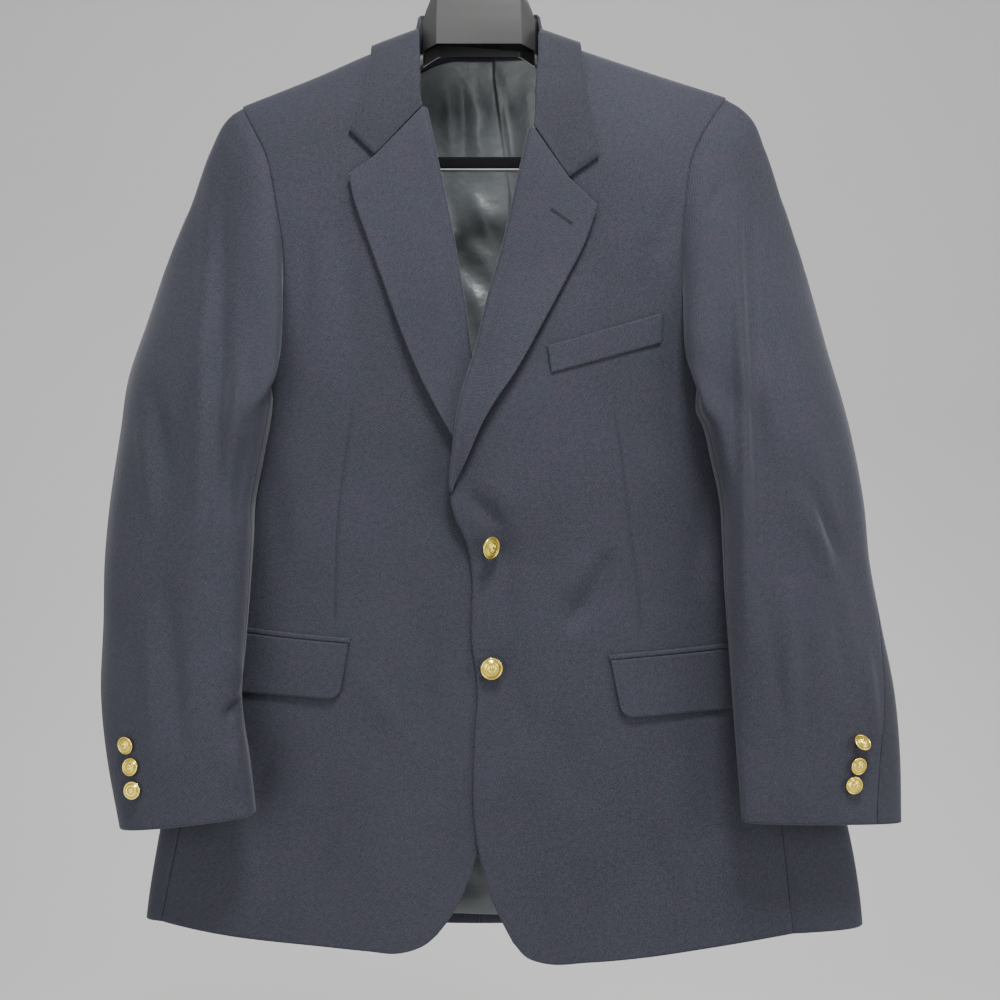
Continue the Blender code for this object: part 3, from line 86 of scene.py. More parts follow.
# Soft folds in the fronts: from x, z to x, z, half width, height (minus is a trough)
FRONT_FOLDS = ((0.078, -0.692, 0.114, -0.645, 0.016, -0.003), (-0.01, -0.575, 0.03, -0.635, 0.014, -0.003),
               (0.02, -0.64, 0.032, -0.82, 0.018, -0.0022), (0.11, -0.27, 0.095, -0.43, 0.02, -0.0035),
               (-0.1, -0.78, -0.075, -0.96, 0.035, 0.0025), (0.175, -0.8, 0.19, -0.96, 0.035, 0.003))
BACK_FOLDS = ((0.09, -0.33, 0.06, -0.56, 0.03, 0.003), (-0.1, -0.34, -0.065, -0.6, 0.032, 0.003),
              (0.12, -0.64, 0.15, -0.95, 0.035, 0.003), (-0.115, -0.66, -0.14, -0.95, 0.035, 0.003))

# Front edges, cutaway and roll line of each front: x by height, from the hem corner to the gorge
FRONT_EDGE = {
    1: ((-0.972, 0.031), (-0.953, 0.021), (-0.938, 0.014), (-0.907, 0.004), (-0.884, -0.001),
        (-0.858, -0.004), (-0.8, -0.004), (-0.741, -0.001), (-0.7, -0.006), (-0.64, -0.006),
        (-0.612, -0.011), (-0.59, -0.021), (-0.568, -0.0256), (-0.535, -0.0235), (-0.487, -0.0166),
        (-0.443, -0.0034), (-0.398, 0.007), (-0.347, 0.0213), (-0.295, 0.033), (-0.2414, 0.045)),
    -1: ((-0.966, -0.037), (-0.952, -0.026), (-0.93, -0.014), (-0.9, -0.003), (-0.87, 0.008),
         (-0.83, 0.018), (-0.78, 0.024), (-0.7, 0.026), (-0.566, 0.024), (-0.5, 0.009), (-0.442, -0.0056),
         (-0.408, -0.01), (-0.369, -0.0164), (-0.336, -0.0222), (-0.296, -0.0302), (-0.2585, -0.0381),
         (-0.2227, -0.0454)),
}
NECK_SEAM = {
    1: ((-0.2414, 0.045), (-0.195, 0.061), (-0.1515, 0.08)),
    -1: ((-0.2227, -0.0454), (-0.19, -0.06), (-0.1525, -0.08)),
}
NECK_X = 0.08
BACK_NECK_Z = -0.158
# Hem of each front from the hem corner to the side-body seam: x, z
FRONT_HEM = {
    1: ((0.031, -0.972), (0.044, -0.986), (0.058, -0.991), (0.102, -0.991), (0.15, -0.987), (0.202, -0.98),
        (0.285, -0.968)),
    -1: ((-0.037, -0.966), (-0.0475, -0.975), (-0.0585, -0.98), (-0.072, -0.983), (-0.1, -0.981),
         (-0.142, -0.977), (-0.228, -0.969), (-0.29, -0.96)),
}
BACK_HEM_SIDE_Z = -0.968
BACK_HEM_Z = -0.9805
# Seam of front and side body: x by height below the armhole; seam of side body and back likewise
FRONT_SIDE_SEAM = {
    1: ((-0.968, 0.285), (-0.82, 0.268), (-0.7, 0.246), (-0.56, 0.222), (-0.47, 0.211)),
    -1: ((-0.96, -0.29), (-0.82, -0.262), (-0.7, -0.24), (-0.56, -0.215), (-0.47, -0.204)),
}
BACK_SIDE_SEAM = {
    1: ((-0.968, 0.285), (-0.82, 0.258), (-0.7, 0.232), (-0.56, 0.208), (-0.47, 0.2)),
    -1: ((-0.968, -0.24), (-0.82, -0.228), (-0.7, -0.214), (-0.56, -0.2), (-0.47, -0.193)),
}
VENT_TOP_Z = -0.77  # the side vents open below this
VENT_DEPTH = 0.0046  # how far inside the back the side body runs there
VENT_UNDERLAP = 0.11  # radians of the form that run on under the back
# Armhole from the shoulder point down to the underarm, as x and z; the underarm is at the form's side
ARMHOLE_FRONT = {
    1: ((0.228, -0.2045), (0.2144, -0.225), (0.195, -0.26), (0.185, -0.312), (0.1826, -0.365),
        (0.1846, -0.405), (0.193, -0.437)),
    -1: ((-0.218, -0.2125), (-0.208, -0.232), (-0.1935, -0.26), (-0.1815, -0.31), (-0.1745, -0.365),
         (-0.1775, -0.405), (-0.186, -0.437)),
}
ARMHOLE_BACK = {
    1: ((0.228, -0.2045), (0.218, -0.23), (0.206, -0.27), (0.198, -0.32), (0.195, -0.37), (0.196, -0.41),
        (0.208, -0.44)),
    -1: ((-0.218, -0.2125), (-0.212, -0.235), (-0.201, -0.27), (-0.193, -0.32), (-0.189, -0.37),
         (-0.19, -0.41), (-0.202, -0.44)),
}
UNDERARM_Z = -0.456
CLEAR_BELOW_Z = -0.235  # the sleeves are kept out of the body below this
SLEEVE_CLEARANCE = 0.0021  # by this much at first, and by twice as much further down
SLEEVE_FREE_AT = 0.36  # share of a sleeve's length down to which the armhole still shapes it
SEAM_TOP_Z = -0.47  # top of the lengthwise seams, just below the armhole
ARMHOLE_CENTRE = np.array([math.pi / 2, -0.335])
AS_LENGTHS = np.array([0.2, 1.0])  # what a radian and a metre of height measure at the armhole

# Sleeves from the armhole to the cuff: x, y, z of the outer edge; x, y, z of the inner edge; half depth
SLEEVE = {
    1: (
        (0.228, -0.016, -0.2045, 0.2262, 0.0, -0.456, 0.05),
        (0.2475, -0.016, -0.22, 0.208, -0.012, -0.46, 0.053),
        (0.263, -0.014, -0.25, 0.1985, -0.03, -0.468, 0.056),
        (0.2815, -0.01, -0.3, 0.195, -0.044, -0.48, 0.058),
        (0.299, -0.006, -0.35, 0.195, -0.05, -0.496, 0.058),
        (0.3139, -0.004, -0.4, 0.2018, -0.055, -0.511, 0.057),
        (0.3285, -0.004, -0.457, 0.2085, -0.06, -0.54, 0.055),
        (0.3414, -0.012, -0.511, 0.2153, -0.065, -0.575, 0.052),
        (0.3515, -0.022, -0.575, 0.217, -0.069, -0.612, 0.048),
        (0.3554, -0.03, -0.63, 0.2185, -0.073, -0.655, 0.043),
        (0.364, -0.037, -0.684, 0.221, -0.077, -0.7, 0.037),
        (0.3751, -0.045, -0.748, 0.224, -0.083, -0.756, 0.029),
        (0.3785, -0.052, -0.802, 0.227, -0.088, -0.806, 0.021),
        (0.3791, -0.055, -0.8635, 0.2306, -0.09, -0.856, 0.015),
    ),
    -1: (
        (-0.218, -0.016, -0.2125, -0.2192, 0.0, -0.456, 0.05),
        (-0.231, -0.016, -0.224, -0.202, -0.012, -0.46, 0.053),
        (-0.2459, -0.014, -0.25, -0.19, -0.03, -0.468, 0.056),
        (-0.2661, -0.01, -0.3, -0.185, -0.044, -0.48, 0.058),
        (-0.2876, -0.006, -0.35, -0.185, -0.05, -0.496, 0.058),
        (-0.3051, -0.004, -0.4, -0.1871, -0.055, -0.511, 0.057),
        (-0.3227, -0.004, -0.457, -0.1925, -0.06, -0.54, 0.055),
        (-0.3289, -0.012, -0.511, -0.1986, -0.065, -0.575, 0.052),
        (-0.3362, -0.022, -0.575, -0.1998, -0.069, -0.612, 0.049),
        (-0.3395, -0.03, -0.63, -0.202, -0.073, -0.655, 0.045),
        (-0.339, -0.037, -0.684, -0.2048, -0.077, -0.7, 0.041),
        (-0.3395, -0.045, -0.748, -0.2074, -0.083, -0.752, 0.037),
        (-0.333, -0.052, -0.802, -0.1993, -0.088, -0.802, 0.033),
        (-0.32, -0.057, -0.868, -0.1936, -0.09, -0.848, 0.029),
    ),
}
# Seams of the sleeve at the armhole and the cuff, as angles: 0 outer, 90 front, 180 inner, 270 back
FORESEAM = {1: (162.0, 180.0), -1: (162.0, 180.0)}
HINDSEAM = {1: (-64.8, 52.0), -1: (-64.8, 10.0)}
# Long soft folds: angle at the top and the cuff, height, half width in degrees, z where it starts and ends
SLEEVE_FOLDS = {
    1: ((150.0, 128.0, 0.0035, 15.0, -0.25, -0.8), (118.0, 108.0, -0.0045, 13.0, -0.28, -0.74),
        (60.0, 40.0, -0.003, 15.0, -0.48, -0.76), (84.0, 72.0, 0.0025, 14.0, -0.42, -0.74)),
    -1: ((92.0, 84.0, -0.004, 16.0, -0.28, -0.7), (124.0, 110.0, 0.003, 15.0, -0.34, -0.8),
         (48.0, 46.0, 0.0025, 15.0, -0.44, -0.8)),
}

# Roll line of the collar from the gorge to the centre back, as x, y, z of the wearer's left and right
COLLAR_FOLD = {
    1: ((0.0452, -0.056, -0.2414), (0.0485, -0.042, -0.2089), (0.0548, -0.021, -0.17),
        (0.0572, -0.002, -0.131), (0.0552, 0.017, -0.117), (0.04, 0.033, -0.115), (0.0, 0.039, -0.115)),
    -1: ((-0.0454, -0.056, -0.2227), (-0.0484, -0.042, -0.205), (-0.0548, -0.021, -0.166),
         (-0.0572, -0.002, -0.13), (-0.056, 0.017, -0.118), (-0.04, 0.033, -0.115), (0.0, 0.039, -0.115)),
}
NOTCH = {1: (0.0814, -0.2874), -1: (-0.0926, -0.2674)}
COLLAR_TIP = {1: (0.1083, -0.2679), -1: (-0.1157, -0.244)}
COLLAR_EDGE_FRONT = {
    1: ((0.1083, -0.2679), (0.0997, -0.2327), (0.0955, -0.1996), (0.094, -0.172)),
    -1: ((-0.1157, -0.244), (-0.1066, -0.2136), (-0.1005, -0.1863), (-0.0985, -0.174)),
}
COLLAR_RIDGE = {1: (0.0938, -0.153), -1: (-0.099, -0.1562)}
COLLAR_EDGE_BACK = ((0.09, -0.166), (0.068, -0.173), (0.036, -0.175), (0.0, -0.175))
LAPEL_EDGE = {
    1: ((-0.0205, -0.562), (-0.0096, -0.5362), (0.0045, -0.5044), (0.0301, -0.4647), (0.0469, -0.4352),
        (0.0763, -0.3818), (0.0998, -0.3327), (0.1062, -0.3117)),
    -1: ((0.019, -0.56), (-0.001, -0.54), (-0.0216, -0.5183), (-0.0301, -0.5041), (-0.047, -0.473),
         (-0.0659, -0.4305), (-0.086, -0.3773), (-0.0975, -0.3454), (-0.1117, -0.3037), (-0.1152, -0.2851)),
}
BREAK_Z = {1: -0.568, -1: -0.566}  # where the roll line starts
ROLL_AT_BREAK, ROLL_ABOVE = 0.003, 0.0048  # outer radius of the rolled edge
ROLL_GROWS = 0.12  # the height over which it grows from one to the other
GORGE_GAP, NOTCH_GAP = 0.001, 0.0006  # by which lapel and collar each keep back from the line between them
COLLAR_BELLY = 0.0045  # how far the collar swells between its fold and its edge
ROLL_GAP = 0.0014  # between the front's cut edge and the cloth that turns there
EDGE_LIFT = 0.0045  # of the outer face of the lapels and the collar along their outer edge

# Pockets: inner end x, outer end x, top z at both ends, flap depth at both ends
FLAP = {
    1: (0.118, 0.26, -0.7133, -0.6985, 0.052, 0.053),
    -1: (-0.116, -0.244, -0.6985, -0.6835, 0.05, 0.055),
}
FLAP_CORNER, FLAP_LEAN, FLAP_LIFT = 0.01, 0.0025, 0.0007
FLAP_SWELL = 0.0052  # by which the sleeves clear the flaps under them
FLAP_HEIGHTS = (-0.785, 0.02, -0.665, 0.02)  # where they do: from, rising over, to, falling over
JET_HEIGHT = 0.0046
WELT = ((0.0648, -0.4621), (0.1634, -0.435), (0.1642, -0.408), (0.0612, -0.4378))

# Buttons: x, z, turn to the side and tilt upwards in degrees; front ones also the gap under the shank
FRONT_BUTTON_R, CUFF_BUTTON_R = 0.01, 0.0077
SHANK_SHARE = 0.3  # radius of the shank, as a share of the button's
FRONT_SHANK, CUFF_SHANK = 0.0018, 0.0014  # its length under a button that lies square on the cloth
BUTTON_SIDES = 72
# A button's face from its shank to its middle: distance from the axis and height, as shares of its radius
BUTTON_FACE = (
    (0.9, 0.02), (0.97, 0.05), (1.0, 0.11), (1.0, 0.16), (0.975, 0.215), (0.93, 0.235), (0.88, 0.215),
    (0.85, 0.185), (0.82, 0.2), (0.76, 0.262), (0.7, 0.31), (0.64, 0.35), (0.6, 0.385), (0.56, 0.4),
    (0.52, 0.385), (0.48, 0.375), (0.42, 0.4), (0.34, 0.425), (0.26, 0.445), (0.18, 0.46), (0.1, 0.475),
    (0.0, 0.48),
)
FRONT_BUTTONS = {
    "upper": (0.0052, -0.6158, 46.0, 8.0, 0.0017),
    "lower": (0.0112, -0.7246, 10.0, 8.0, 0.0005),
}
CUFF_BUTTONS = {
    1: {"top": (0.3345, -0.7905, 24.0, -40.0), "middle": (0.332, -0.807, 22.0, 8.0),
        "low": (0.3282, -0.8248, 12.0, 6.0)},
    -1: {"top": (-0.3055, -0.788, -24.0, 6.0), "middle": (-0.3015, -0.8085, -22.0, -10.0),
         "low": (-0.2992, -0.8295, -14.0, -6.0)},
}

# Arms of the hanger: distance from the centre, height, half thickness
HANGER_ARM = ((0.052, 0.012, 0.0062), (0.06, 0.018, 0.007), (0.08, 0.024, 0.0115), (0.11, 0.027, 0.0145),
              (0.145, 0.027, 0.0135), (0.175, 0.025, 0.0115), (0.192, 0.022, 0.0095), (0.199, 0.014, 0.006))
ARM_CLEARANCE = 0.0078  # from the shoulder line to the top of the arm
BAR_X, BAR_Y, BAR_Z, BAR_HEIGHT, BAR_DEPTH, BAR_BEND = 0.18, -0.008, -0.2638, 0.0125, 0.01, 0.02
HOOK_WIRE_R, HOOK_RING_R, HOOK_ARC = 0.0023, 0.0223, (-62.0, 212.0)
HOOK_STEM = ((0.0, 0.0, -0.07), (0.0, 0.0, -0.065), (0.0, 0.0, -0.06), (0.0008, 0.0, -0.0545))
HOOK_COLLAR = ((0.0, -0.0716), (0.0052, -0.0716), (0.0058, -0.0702), (0.0055, -0.068), (0.004, -0.0668),
               (0.0, -0.0668))
HOOK_COLLAR_Y = -0.003

DARK_LINING = (0.05, 0.056, 0.06)
VELVET, CHROME = (0.004, 0.004, 0.005), (0.6, 0.6, 0.6)

# ---------------------------------------------------------------- what the solids leave out
EDGE_STEP = 0.0009  # width of a cloth edge's rounding
EDGE_SINK = 0.46  # how far the edge rounds down, as a share of the thickness
LAPEL_LIFT = {1: 0.006, -1: 0.0052}  # how far a lapel's free edge stands off the chest
LAPEL_BELLY, LAPEL_WAVE = 0.0016, 0.0007  # how far its middle swells, and a slight wave along it
SLEEVE_HEAD = 0.0016  # how far the sleeve's head swells beside the armhole's seam
STAND = 0.0011  # the stand's visible inner layer
STAND_STARTS, STAND_DROP = 13, 0.0036  # column of the collar where it starts, and how far under the fold
# Creases in the fronts: from x, z to x, z, half width, height
CREASE_GAIN, SLEEVE_CREASE_GAIN = 1.5, 1.95
FRONT_CREASES = {
    1: ((-0.016, -0.562, 0.026, -0.606, 0.0075, -0.0034), (-0.002, -0.545, 0.036, -0.585, 0.0095, 0.0014),
        (0.022, -0.6, 0.026, -0.7, 0.011, -0.0026), (0.026, -0.69, 0.012, -0.85, 0.011, -0.0022),
        (0.03, -0.735, 0.05, -0.8, 0.009, -0.0012), (0.118, -0.62, 0.104, -0.664, 0.008, -0.0034),
        (0.108, -0.656, 0.078, -0.69, 0.0085, -0.0028), (0.098, -0.622, 0.078, -0.664, 0.012, 0.002),
        (0.064, -0.77, 0.095, -0.86, 0.013, -0.0016), (0.15, -0.34, 0.146, -0.44, 0.016, -0.0026),
        (0.176, -0.3, 0.158, -0.36, 0.008, -0.0012), (0.205, -0.56, 0.196, -0.66, 0.012, -0.0016),
        (0.15, -0.86, 0.176, -0.955, 0.013, -0.0018), (0.225, -0.87, 0.232, -0.96, 0.012, 0.002),
        (0.06, -0.88, 0.075, -0.975, 0.015, 0.0014)),
    -1: ((-0.125, -0.3, -0.112, -0.47, 0.016, -0.0024), (-0.15, -0.33, -0.16, -0.44, 0.01, -0.0016),
         (-0.06, -0.64, -0.04, -0.8, 0.014, -0.0014), (-0.11, -0.72, -0.06, -0.8, 0.012, 0.0014),
         (-0.18, -0.79, -0.225, -0.9, 0.012, -0.002), (-0.21, -0.8, -0.25, -0.9, 0.013, 0.0022),
         (-0.13, -0.83, -0.15, -0.95, 0.013, -0.0016), (-0.185, -0.54, -0.176, -0.65, 0.012, -0.0014)),
}
BACK_CREASES = {
    1: ((0.15, -0.3, 0.125, -0.48, 0.014, -0.0024), (0.172, -0.33, 0.15, -0.45, 0.009, 0.0018),
        (0.04, -0.2, 0.1, -0.225, 0.01, -0.0014), (0.06, -0.62, 0.085, -0.86, 0.016, -0.0022),
        (0.17, -0.56, 0.182, -0.7, 0.013, -0.002), (0.15, -0.76, 0.168, -0.93, 0.015, 0.002)),
    -1: ((-0.145, -0.31, -0.12, -0.5, 0.015, -0.0024), (-0.168, -0.34, -0.15, -0.44, 0.009, 0.0016),
         (-0.045, -0.205, -0.1, -0.228, 0.01, -0.0012), (-0.05, -0.58, -0.075, -0.84, 0.017, -0.0022),
         (-0.165, -0.59, -0.178, -0.72, 0.013, -0.0018), (-0.14, -0.78, -0.16, -0.94, 0.015, 0.0018)),
}
# The same on the sleeves, seen from the front and, below, from the back
SLEEVE_CREASES = {
    1: ((0.2305, -0.262, 0.2335, -0.7, 0.0065, 0.0024), (0.219, -0.4, 0.226, -0.57, 0.007, -0.0026),
        (0.244, -0.3, 0.246, -0.7, 0.009, -0.0026), (0.215, -0.29, 0.204, -0.322, 0.005, -0.0018),
        (0.29, -0.555, 0.321, -0.63, 0.0065, -0.0026), (0.28, -0.565, 0.312, -0.65, 0.007, 0.002),
        (0.278, -0.5, 0.29, -0.6, 0.008, -0.0018), (0.252, -0.65, 0.264, -0.77, 0.007, -0.002),
        (0.274, -0.64, 0.27, -0.78, 0.008, 0.0022), (0.29, -0.69, 0.285, -0.84, 0.008, -0.0018),
        (0.312, -0.66, 0.326, -0.75, 0.007, -0.0018), (0.342, -0.7, 0.352, -0.79, 0.006, 0.0016),
        (0.256, -0.38, 0.28, -0.52, 0.012, -0.002)),
    -1: ((-0.23, -0.255, -0.225, -0.7, 0.009, -0.0028), (-0.244, -0.27, -0.24, -0.62, 0.01, 0.002),
         (-0.203, -0.52, -0.208, -0.6, 0.006, -0.0022), (-0.208, -0.44, -0.214, -0.56, 0.007, 0.0018),
         (-0.29, -0.47, -0.27, -0.56, 0.008, -0.002), (-0.3, -0.5, -0.282, -0.6, 0.008, 0.0018),
         (-0.27, -0.64, -0.256, -0.8, 0.009, -0.0022), (-0.29, -0.66, -0.28, -0.82, 0.009, 0.0018),
         (-0.205, -0.75, -0.219, -0.766, 0.005, -0.0034), (-0.216, -0.7, -0.205, -0.742, 0.006, 0.0014),
         (-0.21, -0.774, -0.208, -0.83, 0.007, 0.0016), (-0.23, -0.23, -0.212, -0.262, 0.006, -0.0014)),
}
SLEEVE_BACK_CREASES = {
    1: ((0.25, -0.33, 0.262, -0.52, 0.01, -0.0022), (0.29, -0.36, 0.3, -0.48, 0.012, 0.0018),
        (0.25, -0.52, 0.31, -0.57, 0.008, -0.0022), (0.255, -0.56, 0.315, -0.61, 0.008, -0.0018),
        (0.3, -0.64, 0.315, -0.82, 0.01, -0.0018)),
    -1: ((-0.242, -0.32, -0.255, -0.53, 0.011, -0.0022), (-0.28, -0.37, -0.29, -0.49, 0.012, 0.0018),
         (-0.24, -0.51, -0.3, -0.56, 0.008, -0.0022), (-0.245, -0.55, -0.3, -0.6, 0.008, -0.0018),
         (-0.26, -0.65, -0.27, -0.82, 0.01, -0.0018)),
}
# Darts in the fronts as x by height; they run from under the chest to the pocket
DART = {
    1: ((-0.7, 0.1475), (-0.65, 0.1418), (-0.605, 0.1361), (-0.56, 0.1304), (-0.52, 0.1248),
        (-0.487, 0.119)),
    -1: ((-0.69, -0.1292), (-0.64, -0.1285), (-0.6, -0.127), (-0.566, -0.1238), (-0.512, -0.1158),
         (-0.476, -0.11)),
}
DART_TOP = {1: -0.487, -1: -0.476}
DART_DEPTH, DART_GROOVE = 0.0019, (0.0, 0.25, 1.0, 0.25, 0.0)  # and the shares of it across the groove
DART_ACROSS = np.array([-0.003, -0.0011, 0.0, 0.0011, 0.003])  # where those shares are
LAPEL_HOLE = ((0.0649, -0.3158), (0.0836, -0.3286))  # ends of the lapel's buttonhole, x and z
FRONT_HOLES = {
    "upper": ((0.0034, -0.6183), (0.016, -0.6176)),
    "lower": ((-0.001, -0.7262), (0.0222, -0.7268)),
}
# Half width of a buttonhole's loop, its height over the cloth, its thread's radius, length of a stitch
HOLE_WIDTH, HOLE_LIFT, HOLE_THREAD, HOLE_STITCH = 0.0008, 0.0003, 0.0003, 0.0009
LINING_LOW_Z, LINING_HALF_WIDTH = -0.969, 0.168
PLEAT_DEPTH, PLEAT_WIDTH = 0.005, 0.06
PLEAT_X, PLEAT_SLANT, PLEAT_TOP_Z = 0.0137, 0.0154, -0.1723  # where its fold starts, and how far it wanders
# Soft folds of the lining behind the neck and below the hanger's bar
LINING_FOLDS = (
    (-0.03, -0.172, -0.026, -0.262, 0.006, 0.0026), (-0.017, -0.17, -0.014, -0.262, 0.0042, -0.0018),
    (-0.004, -0.18, 0.004, -0.262, 0.0075, 0.003), (0.008, -0.196, -0.012, -0.25, 0.004, 0.0014),
    (0.026, -0.19, 0.036, -0.262, 0.005, 0.003), (0.046, -0.172, 0.05, -0.255, 0.007, -0.0018),
    (-0.024, -0.164, -0.01, -0.176, 0.003, 0.0014), (0.01, -0.166, 0.024, -0.176, 0.0032, 0.0018),
    (-0.034, -0.274, -0.018, -0.33, 0.006, -0.002), (-0.01, -0.276, 0.016, -0.33, 0.0085, 0.003),
    (-0.028, -0.318, 0.02, -0.352, 0.0065, 0.0024), (-0.02, -0.346, 0.022, -0.384, 0.007, -0.0024),
    (-0.012, -0.362, 0.018, -0.44, 0.008, 0.0028), (-0.045, -0.27, -0.026, -0.4, 0.008, 0.0022),
    (0.004, -0.43, 0.0, -0.56, 0.012, 0.0026), (-0.06, -0.6, -0.07, -0.8, 0.016, 0.0028),
    (0.06, -0.62, 0.07, -0.83, 0.016, 0.0026), (0.0, -0.7, 0.01, -0.9, 0.014, -0.0022),
    (-0.03, -0.905, 0.0, -0.935, 0.006, 0.002), (-0.016, -0.88, 0.004, -0.905, 0.006, -0.002),
)

# ---------------------------------------------------------------- fineness of the grids
FRONT_COLUMNS, BACK_COLUMNS, COLLAR_COLUMNS, LAPEL_ROWS = 92, 72, 64, 110
SEAM_ROWS, ARM_ROWS, SIDE_COLUMNS, LAP_COLUMNS = 96, 84, 34, 5
TOP_SLEEVE_COLUMNS, UNDER_SLEEVE_COLUMNS = 110, 64
NOTCH_SHARE = 0.63
GORGE_SHARES = np.concatenate([np.linspace(0.0, NOTCH_SHARE, 20), np.linspace(NOTCH_SHARE, 1.0, 13)[1:]])
ROLL_ANGLES = np.radians(np.linspace(0.0, 180.0, 11))
SIDE_SEAM_AT = 0.72  # share of each half of the armhole, from the shoulder, where the side body starts
ARMHOLE_SHARES = SIDE_SEAM_AT * np.linspace(0.0, 1.0, ARM_ROWS) ** 1.6
SIDE_SHARES = np.linspace(SIDE_SEAM_AT, 2.0 - SIDE_SEAM_AT, SIDE_COLUMNS)
SLEEVE_ROWS = np.concatenate([np.linspace(0.0, 0.03, 9), np.linspace(0.03, 1.0, 156)[1:]])


# ---------------------------------------------------------------- the form, as the solids have it
FORWARD, BACKWARD = np.array([0.0, -1.0, 0.0]), np.array([0.0, 1.0, 0.0])


def ease(t):
    t = np.clip(t, 0.0, 1.0)
    return t * t * (3.0 - 2.0 * t)


def between(at, low, rise, high, fall):
    """1 between low and high, and 0 outside: it rises from low on and falls before high."""
    return ease((at - low) / rise) * ease((high - at) / fall)


def through(knots, values, at):
    """A smooth curve through values at rising knots, by cubic pieces with averaged slopes."""
    knots, values, at = np.asarray(knots, float), np.asarray(values, float), np.asarray(at, float)
    slopes = np.gradient(values, knots, axis=0)
    at = np.clip(at, knots[0], knots[-1])
    i = np.clip(np.searchsorted(knots, at, side="right") - 1, 0, len(knots) - 2)
    step = knots[i + 1] - knots[i]
    t = (at - knots[i]) / step
    if values.ndim > 1:
        t, step = t[..., None], step[..., None]
    return (
        (2 * t**3 - 3 * t**2 + 1) * values[i]
        + (t**3 - 2 * t**2 + t) * step * slopes[i]
        + (3 * t**2 - 2 * t**3) * values[i + 1]
        + (t**3 - t**2) * step * slopes[i + 1]
    )


def chord_shares(points):
    """Share of a broken line's length at each of its points."""
    chord = np.concatenate([[0.0], np.cumsum(np.linalg.norm(np.diff(points, axis=0), axis=1))])
    return chord / chord[-1]


def along(points, fractions):
    """Points at these fractions of the length of a smooth curve through the given points."""
    points = np.asarray(points, float)
    return through(chord_shares(points), points, fractions)


def unit(v):
    return v / np.linalg.norm(v, axis=-1, keepdims=True)


def hand(side):
    return "left" if side > 0 else "right"


def fold_height(folds, x, z):
    """Sum of soft folds: each a bell across its line that fades out at its two ends."""
    total = np.zeros(np.broadcast(x, z).shape)
    for x0, z0, x1, z1, width, height in folds:
        run = np.array([x1 - x0, z1 - z0])
        length = np.linalg.norm(run)
        t = ((x - x0) * run[0] + (z - z0) * run[1]) / length**2
        across = ((x - x0) * run[1] - (z - z0) * run[0]) / length
        ends = np.sin(np.pi * np.clip(t, 0.0, 1.0)) ** 0.8
        total = total + height * np.exp(-((across / width) ** 2)) * ends
    return total


def form_row(column, z):
    rows = np.array(FORM)
    return through(rows[:, 0], rows[:, column], z)


def half_width(z, side):
    return form_row(1 if side > 0 else 2, z)


def shoulder_z(x, side):
    rows = np.array(SHOULDER[side])
    return through(rows[:, 0], rows[:, 1], np.abs(x))


def closing_lift(x, z):
    """The wearer's left front stands over the right one, most where it covers the right lapel."""
    below = ease((CLOSING_TOP_Z - z) / 0.08)
    return (CLOSING_LIFT * below + OVER_LAPEL_LIFT * between(z, *OVER_LAPEL)) * ease((0.105 - x) / 0.085)


def hanger_lean(x):
    return -SHOULDER_LEAN * (x / SHOULDER_REACH) ** 2


def shoulder_form(x, z, side):
    """The form's lean at this place, the drop below its shoulder line and the share of its full depth."""
    lean = hanger_lean(x) * ease((z - LEAN_LOW_Z) / LEAN_RISE)
    drop = np.clip((shoulder_z(x, side) - z) / SHOULDER_ROUND, 0.0, 1.0)
    return lean, drop, np.sqrt(1.0 - (1.0 - drop) ** 2)


def body(angle, z, side):
    """A point of the form at an angle round the body and a height."""
    s, c = np.sin(angle), np.cos(angle)
    n = (np.abs(s) ** CORNER_POWER + np.abs(c) ** CORNER_POWER) ** (1 / CORNER_POWER)
    x = side * half_width(z, side) * s / n
    face = c / n
    lean, drop, cap = shoulder_form(x, z, side)
    front = form_row(3, z) * cap + fold_height(FRONT_FOLDS, x, z) * ease(drop * 3)
    back = form_row(4, z) * cap + fold_height(BACK_FOLDS, x, z) * ease(drop * 3)
    y = lean - np.where(face > 0, face * front, face * back)
    if side > 0:
        y = y - closing_lift(x, z) * ease(face * 2)
    return np.stack([x, y, np.broadcast_to(z, x.shape)], axis=-1)


def body_normal(angle, z, side):
    """Outward normal of the form, from small steps; level with the seam along the shoulder line."""
    step = 1e-3
    z = np.asarray(z, float)
    x = body(angle, z, side)[..., 0]
    lower = np.minimum(z, shoulder_z(x, side) - SHOULDER_EDGE)
    round_it = body(angle + step, lower, side) - body(angle - step, lower, side)
    up = body(angle, lower + step, side) - body(angle, lower - step, side)
    normal = unit(np.cross(up, round_it) * -side)
    on_line = shoulder_z(x, side) - z < SHOULDER_EDGE * 2 / 3
    normal[on_line, 1] = 0.0
    return unit(normal)


def angle_of(x, z, side, back=False):
    """The angle at which the form has this x at this height."""
    share = np.clip(np.abs(x) / half_width(z, side), 0.0, 0.9995) ** CORNER_POWER
    angle = np.arctan((share / (1.0 - share)) ** (1 / CORNER_POWER)) * np.sign(np.asarray(x) * side)
    return math.pi - angle if back else angle


def raised(x, z, side, lift, back=False):
    """Points of the form at x, z moved out along its normal."""
    x, z = np.broadcast_arrays(np.asarray(x, float), np.asarray(z, float))
    angle = angle_of(x, z, side, back)
    return body(angle, z, side) + body_normal(angle, z, side) * np.asarray(lift)[..., None]


def on_form(x, z, side, back=False, shift=0.0):
    """(angle, height) pairs of the form at these x and z, moved sideways by shift metres."""
    return np.column_stack([angle_of(x, z, side, back) + shift / half_width(z, side), z])


